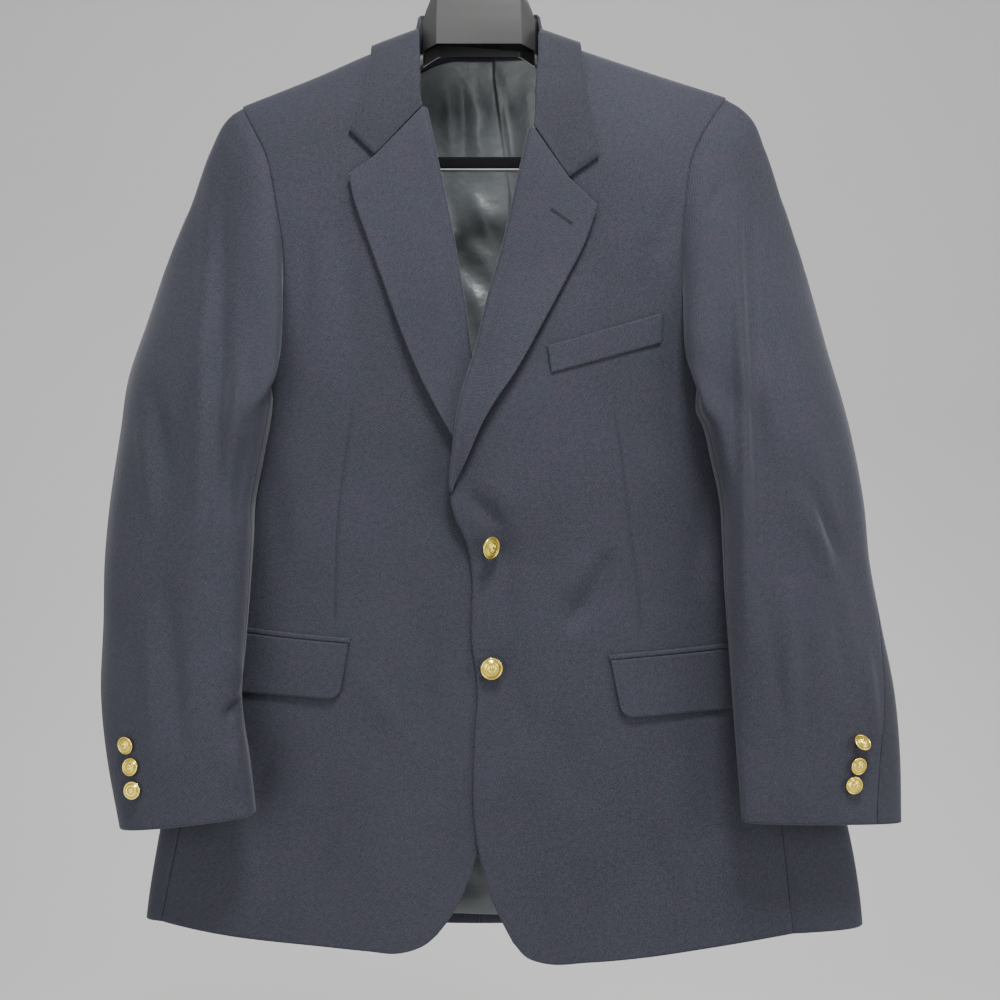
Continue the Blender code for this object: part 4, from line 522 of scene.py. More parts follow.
def patch(bottom, top, left, right):
    """A surface between four edges, each a row of (angle, height) points."""
    u = np.linspace(0.0, 1.0, len(bottom))[None, :, None]
    v = chord_shares(right)[:, None, None]
    across = left[:, None] * (1 - u) + right[:, None] * u
    upward = bottom[None] * (1 - v) + top[None] * v
    corners = (bottom[0] * (1 - u) + bottom[-1] * u) * (1 - v) + (top[0] * (1 - u) + top[-1] * u) * v
    return across + upward - corners


def rise_shares(edge):
    """How far up an edge each of its points is, from its first (0) to its last (1)."""
    return (edge[:, 1] - edge[0, 1]) / (edge[-1, 1] - edge[0, 1])


def armhole(share, side, back):
    """(angle, height) of the armhole from the shoulder (0) to the underarm (1)."""
    points = np.array((ARMHOLE_BACK if back else ARMHOLE_FRONT)[side])
    angle = angle_of(points[:, 0], points[:, 1], side, back)
    pairs = np.column_stack([np.append(angle, math.pi / 2), np.append(points[:, 1], UNDERARM_Z)])
    return along(pairs * AS_LENGTHS, share) / AS_LENGTHS


def opened(pairs, width=SEAM):
    """The armhole's edge on the body, a seam's width back from the sleeve."""
    return pairs + unit((pairs - ARMHOLE_CENTRE) * AS_LENGTHS) * width / AS_LENGTHS


def seam_line(table, side, back, low, shift):
    """A lengthwise seam from the hem up to the armhole, moved sideways by shift metres."""
    rows = np.array(table[side])
    z = np.linspace(low, SEAM_TOP_Z, SEAM_ROWS)
    return on_form(through(rows[:, 0], rows[:, 1], z), z, side, back, shift)


def below_shoulder(pairs, side):
    limit = shoulder_z(body(pairs[..., 0], pairs[..., 1], side)[..., 0], side)
    return np.stack([pairs[..., 0], np.minimum(pairs[..., 1], limit)], axis=-1)


def roll_radius(z, side):
    return ROLL_AT_BREAK + (ROLL_ABOVE - ROLL_AT_BREAK) * ease((z - BREAK_Z[side]) / ROLL_GROWS)


def back_neck_z(x, side):
    """Height of the seam between the back and the collar."""
    return BACK_NECK_Z + (shoulder_z(side * NECK_X, side) - BACK_NECK_Z) * (np.abs(x) / NECK_X) ** 2.6


def polyline(points, shares):
    """Points at shares of a broken line whose middle corner is at the notch's share."""
    a, b, c = (np.array(p, float) for p in points)
    first = np.clip(shares / NOTCH_SHARE, 0.0, 1.0)[:, None]
    second = np.clip((shares - NOTCH_SHARE) / (1.0 - NOTCH_SHARE), 0.0, 1.0)[:, None]
    return a + (b - a) * first + (c - b) * second


def lapel_grid(side):
    """The lapel's visible face with its normals: round the rolled edge, then out over the front."""
    edge = np.array(FRONT_EDGE[side])
    gorge_z = edge[-1, 0] - GORGE_GAP
    v = np.linspace(0.0, 1.0, LAPEL_ROWS) ** 0.9
    z = BREAK_Z[side] + (gorge_z - BREAK_Z[side]) * v
    radius = roll_radius(z, side)
    x = through(edge[:, 0], edge[:, 1], z) + side * radius
    left = np.column_stack([x, z])
    right = along(LAPEL_EDGE[side], v)
    notch = np.array(NOTCH[side]) - np.array([0.0, NOTCH_GAP])
    top = polyline((left[-1], notch, right[-1]), GORGE_SHARES)
    bottom = left[0] + (right[0] - left[0]) * GORGE_SHARES[:, None]
    flat = patch(bottom, top, left, right)
    u = GORGE_SHARES[None, :]
    at_roll = (2 * radius - CLOTH)[:, None]
    lift = at_roll + (EDGE_LIFT - at_roll) * ease(u * 1.15) * ease(v * 6)[:, None]
    face = raised(flat[..., 0], flat[..., 1], side, lift)
    angle = angle_of(flat[..., 0], flat[..., 1], side)
    normal = body_normal(angle, flat[..., 1], side)
    normal = unit(normal + np.array([side, 0.0, 0.0]) * 0.25 * (u[..., None] - 0.15))
    out = normal[:, :1]
    sideways = np.array([side, 0.0, 0.0]) * np.ones_like(out)
    centre = raised(x, z, side, radius - CLOTH)[:, None]
    turn = ROLL_ANGLES[None, :-1, None]
    round_normal = -out * np.cos(turn) - sideways * np.sin(turn)
    rounded = centre + round_normal * radius[:, None, None]
    return np.concatenate([rounded, face], axis=1), np.concatenate([round_normal, normal], axis=1)


def collar_half(side):
    """The collar's visible face from the gorge (first column) to the centre back, fold line first."""
    v = np.linspace(0.0, 1.0, COLLAR_COLUMNS)
    fold = along(COLLAR_FOLD[side], v)
    front = np.array(COLLAR_EDGE_FRONT[side])
    ridge = np.array([[COLLAR_RIDGE[side][0], -0.003, COLLAR_RIDGE[side][1]]])
    back = np.array(COLLAR_EDGE_BACK) * np.array([side, 1.0])
    edge_points = np.concatenate([
        raised(front[:, 0], front[:, 1], side, EDGE_LIFT),
        ridge,
        raised(back[:, 0], back[:, 1], side, EDGE_LIFT, back=True),
    ])
    edge = along(edge_points, v ** 0.85)
    u = GORGE_SHARES[None, :, None]
    face = fold[:, None] * (1 - u) + edge[:, None] * u
    out = unit(np.cross(np.gradient(face, axis=1), np.gradient(face, axis=0)) * -side)
    face = face + out * COLLAR_BELLY * np.sin(np.pi * u) * ease(v * 4)[:, None, None]
    notch = np.array(NOTCH[side]) + np.array([0.0, NOTCH_GAP])
    roll = roll_radius(fold[:1, 2], side)[0]
    corner = np.array([fold[0, 0] + side * roll, fold[0, 2] + GORGE_GAP])
    end = polyline((corner, notch, COLLAR_TIP[side]), GORGE_SHARES)
    lift = (2 * roll - CLOTH) + (EDGE_LIFT - 2 * roll + CLOTH) * ease(GORGE_SHARES * 1.15)
    end = raised(end[:, 0], end[:, 1], side, lift)
    share = (ease(1.0 - v * 2.6))[:, None, None]
    shifted = face + (end - face[0])[None] * share
    for row in shifted:
        for point in row:
            keep_off(point, side, EDGE_LIFT)
    return shifted


def keep_off(point, side, lift):
    """Move a point of the collar forward, back or up until it clears the form by the lift."""
    drop = float(shoulder_z(point[0], side)) - point[2]
    is_back = point[1] > -0.002
    if drop > 0.03:
        surface = raised(point[0], point[2], side, lift, back=is_back)
        point[1] = max(point[1], surface[1]) if is_back else min(point[1], surface[1])
        return
    depth = float(form_row(4 if is_back else 3, point[2]))
    share = min(abs(point[1] - hanger_lean(point[0])) / depth, 0.95)
    top = float(shoulder_z(point[0], side)) - SHOULDER_ROUND * (1.0 - math.sqrt(1.0 - share**2))
    point[2] = max(point[2], top + lift * 1.6)


def collar_stand_half(side):
    """The stand's visible face from the collar's front to the centre back, its fold first."""
    v = np.linspace(0.0, 1.0, COLLAR_COLUMNS)[STAND_STARTS:]
    fold = along(COLLAR_FOLD[side], v)
    inward = unit(np.column_stack([-fold[:, 0], 0.004 - fold[:, 1], np.zeros(len(fold))]))
    drawn = ease((v - v[0]) / 0.18)[:, None]
    top = fold + inward * (0.0014 * drawn - 0.0012 * (1 - drawn)) - np.array([0.0, 0.0, STAND_DROP])
    seam_front = np.array(NECK_SEAM[side])
    neck_x = side * NECK_X * np.array([0.72, 0.4, 0.0])
    inset = -(CLOTH + 0.0016)
    line = np.concatenate([
        raised(seam_front[:, 1], seam_front[:, 0], side, inset),
        raised(neck_x, back_neck_z(neck_x, side), side, inset, back=True),
    ])
    line[len(seam_front) - 1] += np.array([-side * 0.003, 0.0, -0.0012])
    bottom = along(line, v) - inward * 0.0045 * (1 - drawn)
    u = np.linspace(0.0, 1.0, 14)[None, :, None]
    return top[:, None] * (1 - u) + bottom[:, None] * u


def armhole_share(angle):
    """Share of the armhole, from the shoulder, at an angle round the sleeve, and where it is in front."""
    wrapped = np.mod(angle, 2 * math.pi)
    front = wrapped <= math.pi
    return np.where(front, wrapped / math.pi, 2.0 - wrapped / math.pi), front


def armhole_round(share, front, side):
    return np.where(front[..., None], armhole(share, side, False), armhole(share, side, True))


def sleeve_loop(angle, side):
    """The armhole on the form at an angle round the sleeve."""
    pairs = armhole_round(*armhole_share(angle), side)
    return body(pairs[..., 0], pairs[..., 1], side)


def clear_of_body(points, side, gap):
    """Push points out of the body, level and square to its form, until they clear it by the gap."""
    x, y, z = points[..., 0].copy(), points[..., 1].copy(), points[..., 2]
    power = CORNER_POWER
    for _ in range(3):
        lean, _, cap = shoulder_form(x, z, side)
        ahead = y < lean
        over_flap = np.where(ahead, FLAP_SWELL, 0.0) * between(z, *FLAP_HEIGHTS)
        depth = np.where(ahead, form_row(3, z), form_row(4, z)) * cap + gap + over_flap
        width = half_width(z, side) + gap + over_flap
        across, along_depth = np.abs(x) / width, np.abs(y - lean) / np.maximum(depth, 1e-4)
        radius = (across**power + along_depth**power) ** (1 / power)
        outward = np.maximum(1.0, 1.0 / np.maximum(radius, 1e-6)) - 1.0
        push = 1.0 + outward * ease((CLEAR_BELOW_Z - z) / 0.05)
        x, y = x * push, lean + (y - lean) * push
    return np.stack([x, y, z], axis=-1)


def sleeve_ring(row, angle):
    """Points round the sleeve where it has this row of its table, and the middle of the ring."""
    outer, inner, depth = row[..., :3], row[..., 3:6], row[..., 6:7]
    cos, sin = np.cos(angle)[..., None], np.sin(angle)[..., None]
    square = 1.0 + 0.06 * np.sin(2 * angle)[..., None] ** 2
    middle = (outer + inner) / 2
    return middle + ((outer - inner) / 2 * cos + FORWARD * depth * sin) * square, middle


def sleeve(t, angle, side):
    """A point of the sleeve: t runs from the armhole (0) to the cuff (1), the angle round it."""
    t, angle = np.broadcast_arrays(np.asarray(t, float), np.asarray(angle, float))
    rows = np.array(SLEEVE[side])
    knots = chord_shares((rows[:, :3] + rows[:, 3:6]) / 2)
    ring, middle = sleeve_ring(through(knots, rows, t), angle)
    fade = (1.0 - ease(t / SLEEVE_FREE_AT))[..., None]
    point = ring + (sleeve_loop(angle, side) - sleeve_ring(rows[0], angle)[0]) * fade
    height = np.zeros(t.shape)
    for top, low, rise, width, start, end in SLEEVE_FOLDS[side]:
        share = (point[..., 2] - start) / (end - start)
        at = np.radians(top + (low - top) * np.clip(share, 0.0, 1.0))
        away = (angle - at + math.pi) % (2 * math.pi) - math.pi
        ends = np.sin(np.pi * np.clip(share, 0.0, 1.0)) ** 0.8
        height = height + rise * np.exp(-((away / np.radians(width)) ** 2)) * ends
    point = point + unit(point - middle) * (height * ease(t / 0.1))[..., None]
    return clear_of_body(point, side, SLEEVE_CLEARANCE * (ease(t / 0.014) + ease(t / 0.06)) - 0.0001)


def sleeve_normal(t, angle, side):
    step_t, step_a = 2e-3, 1e-2
    low, high = np.maximum(t - step_t, 0.0), np.minimum(t + step_t, 1.0)
    down = sleeve(high, angle, side) - sleeve(low, angle, side)
    along_ring = sleeve(t, angle + step_a, side) - sleeve(t, angle - step_a, side)
    return unit(np.cross(along_ring, down) * side)


def seam_angle(table, side, t):
    start, end = np.radians(table[side])
    return start + (end - start) * ease(np.clip((t - 0.1) / 0.9, 0, 1) ** 0.9)


def off_square(normal, turn, tilt):
    """Sine of the angle between a button's axis and the cloth's normal."""
    turn, tilt = math.radians(turn), math.radians(tilt)
    axis = np.array([math.sin(turn) * math.cos(tilt), -math.cos(turn) * math.cos(tilt), math.sin(tilt)])
    return float(np.linalg.norm(np.cross(axis, normal)))


def sleeve_spot(x, z, side):
    """Where the front of the sleeve passes x, z, with its normal there."""
    t = np.linspace(0.6, 1.0, 81)[:, None]
    angle = np.radians(np.linspace(-20.0, 110.0, 131))[None, :]
    points = sleeve(t + 0 * angle, angle + 0 * t, side)
    best = np.argmin((points[..., 0] - x) ** 2 + (points[..., 2] - z) ** 2)
    i, j = np.unravel_index(best, points.shape[:2])
    return points[i, j], sleeve_normal(t[i], angle[0, j : j + 1], side)[0]


def lathe(profile, sides):
    """Vertices and faces of a closed turned form: profile of (radius, height), both ends on the axis."""
    vertices, rings = [], []
    for radius, height in profile:
        if radius < 1e-9:
            rings.append([len(vertices)])
            vertices.append((0.0, 0.0, height))
            continue
        rings.append(list(range(len(vertices), len(vertices) + sides)))
        for i in range(sides):
            a = 2 * math.pi * i / sides
            vertices.append((radius * math.cos(a), radius * math.sin(a), height))
    faces = []
    for low, high in zip(rings, rings[1:]):
        for i in range(sides):
            j = (i + 1) % sides
            if len(low) == 1:
                faces.append((low[0], high[j], high[i]))
            elif len(high) == 1:
                faces.append((low[i], low[j], high[0]))
            else:
                faces.append((low[i], low[j], high[j], high[i]))
    return vertices, faces


def arm_top(x):
    lower = 0.01 * float(ease((0.11 - abs(x)) / 0.05))
    return float(shoulder_z(x, 1 if x > 0 else -1)) - ARM_CLEARANCE - lower


def hanger_section(x, top, bottom, half, power, sides):
    """A rounded section square to X: power 2 is an ellipse, a high power a box."""
    a = 2 * math.pi * (np.arange(sides) + 0.5) / sides
    c, s = np.cos(a), np.sin(a)
    n = (np.abs(c) ** power + np.abs(s) ** power) ** (1 / power)
    y = hanger_lean(x) + half * c / n
    z = (top + bottom) / 2 + (top - bottom) / 2 * s / n
    return np.column_stack([np.full(sides, x), y, z])


def tube(sections):
    """Vertices and faces of a closed tube through rings of the same number of points."""
    count = len(sections[0])
    vertices = [tuple(p) for ring in sections for p in ring]
    faces = []
    for i in range(len(sections) - 1):
        for j in range(count):
            k = (j + 1) % count
            faces.append((i * count + j, i * count + k, (i + 1) * count + k, (i + 1) * count + j))
    faces.append(tuple(range(count)))
    faces.append(tuple(range((len(sections) - 1) * count, len(sections) * count)))
    return vertices, faces


def round_tube(path, up, sizes, sides):
    """A round tube along a path, with a direction square to the path and a radius for every point."""
    turn = np.linspace(0.0, 2 * math.pi, sides, endpoint=False)[:, None]
    sections = []
    for point, ahead, above, size in zip(path, unit(np.gradient(path, axis=0)), up, sizes):
        aside = unit(np.cross(ahead, above))
        sections.append(point + (aside * np.cos(turn) + above * np.sin(turn)) * size)
    return tube(sections)


def arm_underside(x):
    height = np.interp(abs(x), [row[0] for row in HANGER_ARM], [row[1] for row in HANGER_ARM])
    return arm_top(x) - float(height)


# ---------------------------------------------------------------- cloth meshes
def rimmed(*grids):
    """The grids with a row added just inside each of their edges; the first grid is the place."""
    for axis in (0, 1):
        turned = [np.moveaxis(grid, axis, 0) for grid in grids]
        place = turned[0]
        first = EDGE_STEP / np.maximum(np.linalg.norm(place[1] - place[0], axis=-1), 1e-6)
        last = EDGE_STEP / np.maximum(np.linalg.norm(place[-2] - place[-1], axis=-1), 1e-6)
        made = []
        for grid in turned:
            near = grid[0] + (grid[1] - grid[0]) * np.minimum(first, 0.5)[:, None]
            far = grid[-1] + (grid[-2] - grid[-1]) * np.minimum(last, 0.5)[:, None]
            made.append(np.concatenate([grid[:1], near[None], grid[1:-1], far[None], grid[-1:]]))
        grids = [np.moveaxis(grid, 0, axis) for grid in made]
    return grids


def run_length(points, axis):
    """Length along a grid's lines, counted from their middle."""
    step = np.linalg.norm(np.diff(points, axis=axis), axis=-1)
    pad = [(0, 0), (0, 0)]
    pad[axis] = (1, 0)
    total = np.pad(np.cumsum(step, axis=axis), pad)
    return total - np.take(total, [points.shape[axis] // 2], axis=axis)


def dress(obj, nodes):
    """The piece rides on the model and stands for these solids, which it hides."""
    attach(obj, "root")
    if nodes:
        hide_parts(*nodes)


def in_scene(name, data):
    obj = bpy.data.objects.new(name, data)
    bpy.context.scene.collection.objects.link(obj)
    return obj


def mesh_object(name, vertices, faces, finish, sharp=None):
    """A smooth mesh whose edges stay sharp from the given angle in degrees on."""
    mesh = bpy.data.meshes.new(name)
    mesh.from_pydata([tuple(v) for v in vertices], [], faces)
    turned = bmesh.new()
    turned.from_mesh(mesh)
    bmesh.ops.recalc_face_normals(turned, faces=turned.faces)
    turned.to_mesh(mesh)
    turned.free()
    mesh.shade_smooth()
    if sharp is not None:
        mesh.set_sharp_from_angle(angle=math.radians(sharp))
    mesh.materials.append(finish)
    return in_scene(name, mesh)


def cloth(node, outer, normal, thickness, finish, keep=None):
    """A thin wall under the outer grid, its edges rounded, with the run of its threads kept per point."""
    outer, normal = rimmed(outer, normal)
    rows, columns = outer.shape[:2]
    edge = np.zeros((rows, columns, 1))
    edge[[0, -1]] = 1.0
    edge[:, [0, -1]] = 1.0
    upper = outer - normal * thickness * EDGE_SINK * edge
    lower = outer - normal * thickness * (1.0 - EDGE_SINK * edge)
    if keep is None:
        keep = np.ones((rows - 1, columns - 1), bool)
    else:
        twice = [np.array([2] + [1] * (n - 2) + [2]) for n in keep.shape]
        keep = np.repeat(np.repeat(keep, twice[0], axis=0), twice[1], axis=1)
    count = rows * columns
    i, j = np.nonzero(keep)
    a = i * columns + j
    quads = np.stack([a, a + 1, a + columns + 1, a + columns], axis=1)
    under = quads[:, ::-1] + count
    sides = np.concatenate([quads, np.roll(quads, -1, axis=1)]).reshape(2, -1, 4)
    start, end = sides[0].ravel(), sides[1].ravel()
    key = np.minimum(start, end) * (2 * count) + np.maximum(start, end)
    _, index, number = np.unique(key, return_index=True, return_counts=True)
    single = index[number == 1]
    rim = np.stack([end[single], start[single], start[single] + count, end[single] + count], axis=1)
    faces = np.concatenate([quads, under, rim])
    used = np.unique(faces)
    renumber = np.zeros(2 * count, int)
    renumber[used] = np.arange(len(used))
    vertices = np.concatenate([upper.reshape(-1, 3), lower.reshape(-1, 3)])
    facing = np.cross(np.gradient(outer, axis=1), np.gradient(outer, axis=0))
    rise = np.sign((outer[-1, :, 2] - outer[0, :, 2]).mean()) or 1.0
    turn = np.sign((facing * normal).sum()) or 1.0
    weft, warp = rise * turn * run_length(outer, 1), rise * run_length(outer, 0)
    grain = np.stack([weft, warp, 0.0 * warp], axis=-1).reshape(-1, 3)
    grain = np.concatenate([grain, grain])[used]
    obj = mesh_object(node + "_cloth", vertices[used], renumber[faces].tolist(), finish)
    threads = obj.data.attributes.new("threads", "FLOAT_VECTOR", "POINT")
    threads.data.foreach_set("vector", grain.astype(np.float32).ravel())
    dress(obj, [node])


# ---------------------------------------------------------------- body pieces
def creased(points, normal, side, creases):
    """Points of the body moved along their normals by the creases, which fade out at the shoulder."""
    x, z = points[..., 0], points[..., 2]
    height = CREASE_GAIN * fold_height(creases[side], x, z)
    return points + normal * (height * ease((shoulder_z(x, side) - z) / 0.03))[..., None]


def body_cloth(node, pairs, side, creases, keep=None, inward=0.0, forward=0.0, groove=0.0):
    """A piece of the body over (angle, height) pairs; the groove is sunk after the creases are in."""
    normal = body_normal(pairs[..., 0], pairs[..., 1], side)
    outer = body(pairs[..., 0], pairs[..., 1], side) - normal * np.asarray(inward)[..., None]
    outer[..., 1] -= forward
    outer = creased(outer, normal, side, creases) - normal * np.asarray(groove)[..., None]
    cloth(node, outer, normal, CLOTH, WOOL, keep)


def with_dart(pairs, side):
    """The front's grid with its columns bent so that one of them follows the dart, and the dart's depth."""
    x = body(pairs[..., 0], pairs[..., 1], side)[..., 0] * side
    columns = np.arange(pairs.shape[1])
    rows = np.array(DART[side])
    made, depth = [], []
    for row_x, row in zip(x, pairs):
        z = float(row[:, 1].min() + row[:, 1].max()) / 2
        for _ in range(3):
            slope = (rows[-1, 1] - rows[0, 1]) / (rows[-1, 0] - rows[0, 0])
            above = max(z - rows[-1, 0], 0.0) + min(z - rows[0, 0], 0.0)
            dart_x = float(through(rows[:, 0], rows[:, 1], z)) + slope * above * 0.6
            at = float(np.interp(dart_x * side, row_x, columns))
            z = float(np.interp(at, columns, row[:, 1]))
        gap = columns[-1] / (abs(row_x[-1] - row_x[0]) + 1e-6)
        fine = at + gap * DART_ACROSS
        cut = int(round(0.42 * columns[-1]))
        before = np.linspace(0.0, fine[0], cut)[:-1]
        after = np.linspace(fine[-1], columns[-1], columns[-1] - cut)[1:]
        places = np.concatenate([before, fine, after])
        made.append(np.stack([np.interp(places, columns, row[:, k]) for k in (0, 1)], axis=-1))
        strength = float(between(z, rows[0, 0], 0.01, DART_TOP[side], 0.03))
        line = np.zeros(len(places))
        line[cut - 1 : cut + 4] = DART_DEPTH * np.array(DART_GROOVE)
        depth.append(line * strength)
    return np.array(made), np.array(depth)


def front_cloth(side):
    """A front, from its free edge and roll line to the side seam and the armhole, with its dart."""
    seam = seam_line(FRONT_SIDE_SEAM, side, False, FRONT_HEM[side][-1][1], -SEAM / 2)
    arm = opened(armhole(ARMHOLE_SHARES[::-1], side, False))
    arm[0, 0] -= SEAM / half_width(arm[0, 1], side)
    outer_edge = np.concatenate([seam, arm])
    edge = np.array(FRONT_EDGE[side] + NECK_SEAM[side][1:])
    corner_z, neck_z = edge[0, 0], edge[-1, 0]
    rise = rise_shares(outer_edge)
    low_rows = int(round(0.52 * len(outer_edge)))
    low_z = corner_z + (BREAK_Z[side] - 0.004 - corner_z) * np.linspace(0.0, 1.0, low_rows) ** 1.25
    top_rise = (rise[low_rows:] - rise[low_rows]) / (1.0 - rise[low_rows])
    inner_z = np.concatenate([low_z, BREAK_Z[side] + 0.002 + (neck_z - BREAK_Z[side] - 0.002) * top_rise])
    inner_x = through(edge[:, 0], edge[:, 1], inner_z)
    above_break = ease((inner_z - BREAK_Z[side] + 0.004) / 0.006)
    inner_x = inner_x + side * (roll_radius(inner_z, side) + ROLL_GAP) * above_break
    inner_edge = on_form(inner_x, inner_z, side)
    bottom = on_form(*along(FRONT_HEM[side], np.linspace(0.0, 1.0, FRONT_COLUMNS)).T, side)
    bottom[-1], bottom[0] = outer_edge[0], inner_edge[0]
    top_x = np.linspace(inner_x[-1], ARMHOLE_FRONT[side][0][0] - side * SEAM, FRONT_COLUMNS)
    top = on_form(top_x, shoulder_z(top_x, side), side)
    inner_edge[-1], outer_edge[-1] = top[0], top[-1]
    pairs = below_shoulder(patch(bottom, top, inner_edge, outer_edge), side)
    pairs, groove = with_dart(pairs, side)
    pairs = below_shoulder(pairs, side)
    body_cloth("front_" + hand(side), pairs, side, FRONT_CREASES, forward=SEAM / 2, groove=groove)


def side_body_cloth(side):
    """The side body, with the underlap of its vent behind."""
    front_edge = seam_line(FRONT_SIDE_SEAM, side, False, FRONT_HEM[side][-1][1], SEAM / 2)
    back_edge = seam_line(BACK_SIDE_SEAM, side, True, BACK_HEM_SIDE_Z, -SEAM / 2)
    arm = opened(np.array([armhole(min(t, 2.0 - t), side, t > 1.0) for t in SIDE_SHARES]), 2.2 * SEAM)
    arm[0, 0] += SEAM / half_width(arm[0, 1], side)
    arm[-1, 0] -= SEAM / half_width(arm[-1, 1], side)
    u = np.linspace(0.0, 1.0, len(SIDE_SHARES))[None, :, None]
    lower = front_edge[:, None] * (1 - u) + back_edge[:, None] * u
    share = np.linspace(0.0, 1.0, 8)[1:, None, None]
    upper = lower[-1][None] * (1 - share) + arm[None] * share
    pairs = np.concatenate([lower, upper])
    lap = np.array([VENT_UNDERLAP, 0.0]) * np.arange(1, LAP_COLUMNS + 1)[:, None] / LAP_COLUMNS
    pairs = np.concatenate([pairs, pairs[:, -1:] + lap], axis=1)
    keep = np.ones((len(pairs) - 1, pairs.shape[1] - 1), bool)
    keep[pairs[1:, -1, 1] > VENT_TOP_Z, -LAP_COLUMNS:] = False
    inward = np.zeros(pairs.shape[:2])
    lapped = slice(-LAP_COLUMNS - 1, None)
    inward[:, lapped] = VENT_DEPTH * ease((VENT_TOP_Z - pairs[:, lapped, 1]) / 0.012)
    creases = {side: FRONT_CREASES[side] + BACK_CREASES[side]}
    body_cloth("side_body_" + hand(side), pairs, side, creases, keep=keep, inward=inward)


def back_cloth(side):
    """Half of the back, up to the shoulder line and the neck."""
    low = BACK_HEM_SIDE_Z
    seam = seam_line(BACK_SIDE_SEAM, side, True, low, SEAM / 2)
    arm = opened(armhole(ARMHOLE_SHARES[::-1], side, True), 1.4 * SEAM)
    arm[0, 0] += SEAM / half_width(arm[0, 1], side)
    outer_edge = np.concatenate([seam, arm])
    centre_z = BACK_HEM_Z + (BACK_NECK_Z - BACK_HEM_Z) * rise_shares(outer_edge)
    centre = np.column_stack([math.pi - SEAM / 2 / half_width(centre_z, side), centre_z])
    u = np.linspace(0.0, 1.0, BACK_COLUMNS)
    bottom = outer_edge[0] * (1 - u[:, None]) + centre[0] * u[:, None]
    bottom[:, 1] = low + (BACK_HEM_Z - low) * np.sin(u * math.pi / 2)
    shoulder_count = int(0.66 * BACK_COLUMNS)
    shoulder_x = np.linspace(ARMHOLE_BACK[side][0][0], side * NECK_X, shoulder_count)
    neck_x = side * NECK_X * np.linspace(1.0, 0.0, BACK_COLUMNS - shoulder_count + 1)[1:]
    top_z = np.concatenate([shoulder_z(shoulder_x, side), back_neck_z(neck_x, side)])
    top = on_form(np.concatenate([shoulder_x, neck_x]), top_z, side, True)
    top[-1] = centre[-1]
    outer_edge[-1] = top[0]
    pairs = below_shoulder(patch(bottom, top, outer_edge, centre), side)
    body_cloth("back_" + hand(side), pairs, side, BACK_CREASES, forward=-SEAM / 2)


# ---------------------------------------------------------------- lapels and collar
def lapel_cloth(side):
    """The lapel; its face and normals are handed on for the buttonhole."""
    face, normal = lapel_grid(side)
    columns = np.arange(face.shape[1])
    u = np.clip((columns - len(ROLL_ANGLES)) / (columns[-1] - len(ROLL_ANGLES)), 0.0, 1.0)[None, :]
    v = np.linspace(0.0, 1.0, face.shape[0])[:, None]
    wave = np.sin(2 * np.pi * (v * 1.3 + 0.4 * u))
    belly = LAPEL_BELLY * np.sin(np.pi * u) * np.sin(np.pi * v) - LAPEL_WAVE * wave
    lift = LAPEL_LIFT[side] * u ** 1.4 * ease(v / 0.06) * (1.0 - 0.7 * ease((v - 0.3) / 0.6))
    face = face + normal * (belly * ease(u * 4) + lift)[..., None]
    cloth("lapel_" + hand(side), face, normal, CLOTH, WOOL_PRESSED_PAINTED_LIGHT)
    return face, normal


def collar_piece(node, half, probe, thickness, finish):
    """A piece of the collar from its two halves; its outer face looks back in the column at probe."""
    face = np.concatenate([half(1), half(-1)[-2::-1]])
    normal = unit(np.cross(np.gradient(face, axis=0), np.gradient(face, axis=1)) + 1e-12)
    normal = normal * np.sign(normal[len(face) // 2, probe, 1] or 1.0)
    cloth(node, face, normal, thickness, finish)


# ---------------------------------------------------------------- sleeves
def sleeve_cloth(side, upper):
    """The top or the under piece of a sleeve, from seam to seam."""
    t = SLEEVE_ROWS[:, None]
    fore, hind = seam_angle(FORESEAM, side, t), seam_angle(HINDSEAM, side, t)
    trim = SLEEVE_SEAM / 2 / SLEEVE_R * (1.0 + 1.5 * ease((0.06 - t) / 0.03))
    start, end = (hind, fore) if upper else (fore, hind + 2 * math.pi)
    start, end = start + trim, end - trim
    columns = TOP_SLEEVE_COLUMNS if upper else UNDER_SLEEVE_COLUMNS
    angle = start + (end - start) * np.linspace(0.0, 1.0, columns)[None, :]
    t = np.broadcast_to(t, angle.shape)
    outer = sleeve(t, angle, side)
    normal = sleeve_normal(t, angle, side)
    part, front = armhole_share(angle)
    pairs = armhole_round(part[0], front[0], side)
    level = ease((0.75 - part) / 0.3) * (1.0 - ease(t / 0.03))
    square = body_normal(pairs[:, 0], pairs[:, 1], side)[None]
    normal = unit(normal * (1.0 - level[..., None]) + square * level[..., None])
    tables = (SLEEVE_CREASES, SLEEVE_BACK_CREASES)
    ahead, behind = (fold_height(table[side], outer[..., 0], outer[..., 2]) for table in tables)
    height = np.where(np.sin(angle) > 0, ahead, behind) * SLEEVE_CREASE_GAIN
    height = height * ease(np.abs(np.sin(angle)) * 4)
    head = SLEEVE_HEAD * ease(t / 0.012) * (1.0 - ease((t - 0.03) / 0.1)) * ease((0.55 - part) / 0.25)
    outer = outer + normal * (height * ease(t / 0.05) + head)[..., None]
    # The under piece takes the darker copy of the wool: painted shade.
    layer, finish, slot = ("top", WOOL, "navy_wool") if upper else ("under", WOOL_PAINTED_SHADE, "navy_wool_under")
    cloth(layer + "_sleeve_" + hand(side), outer, normal, CLOTH, finish)


# ---------------------------------------------------------------- pockets
def laid_cloth(node, angle, z, side, lift, thickness, finish):
    """A flat piece laid on the form, its outer face lifted off it."""
    angle, z = np.broadcast_arrays(angle, z)
    normal = body_normal(angle, z, side)
    outer = body(angle, z, side) + normal * np.asarray(lift)[..., None]
    cloth(node, outer, normal, thickness, finish)


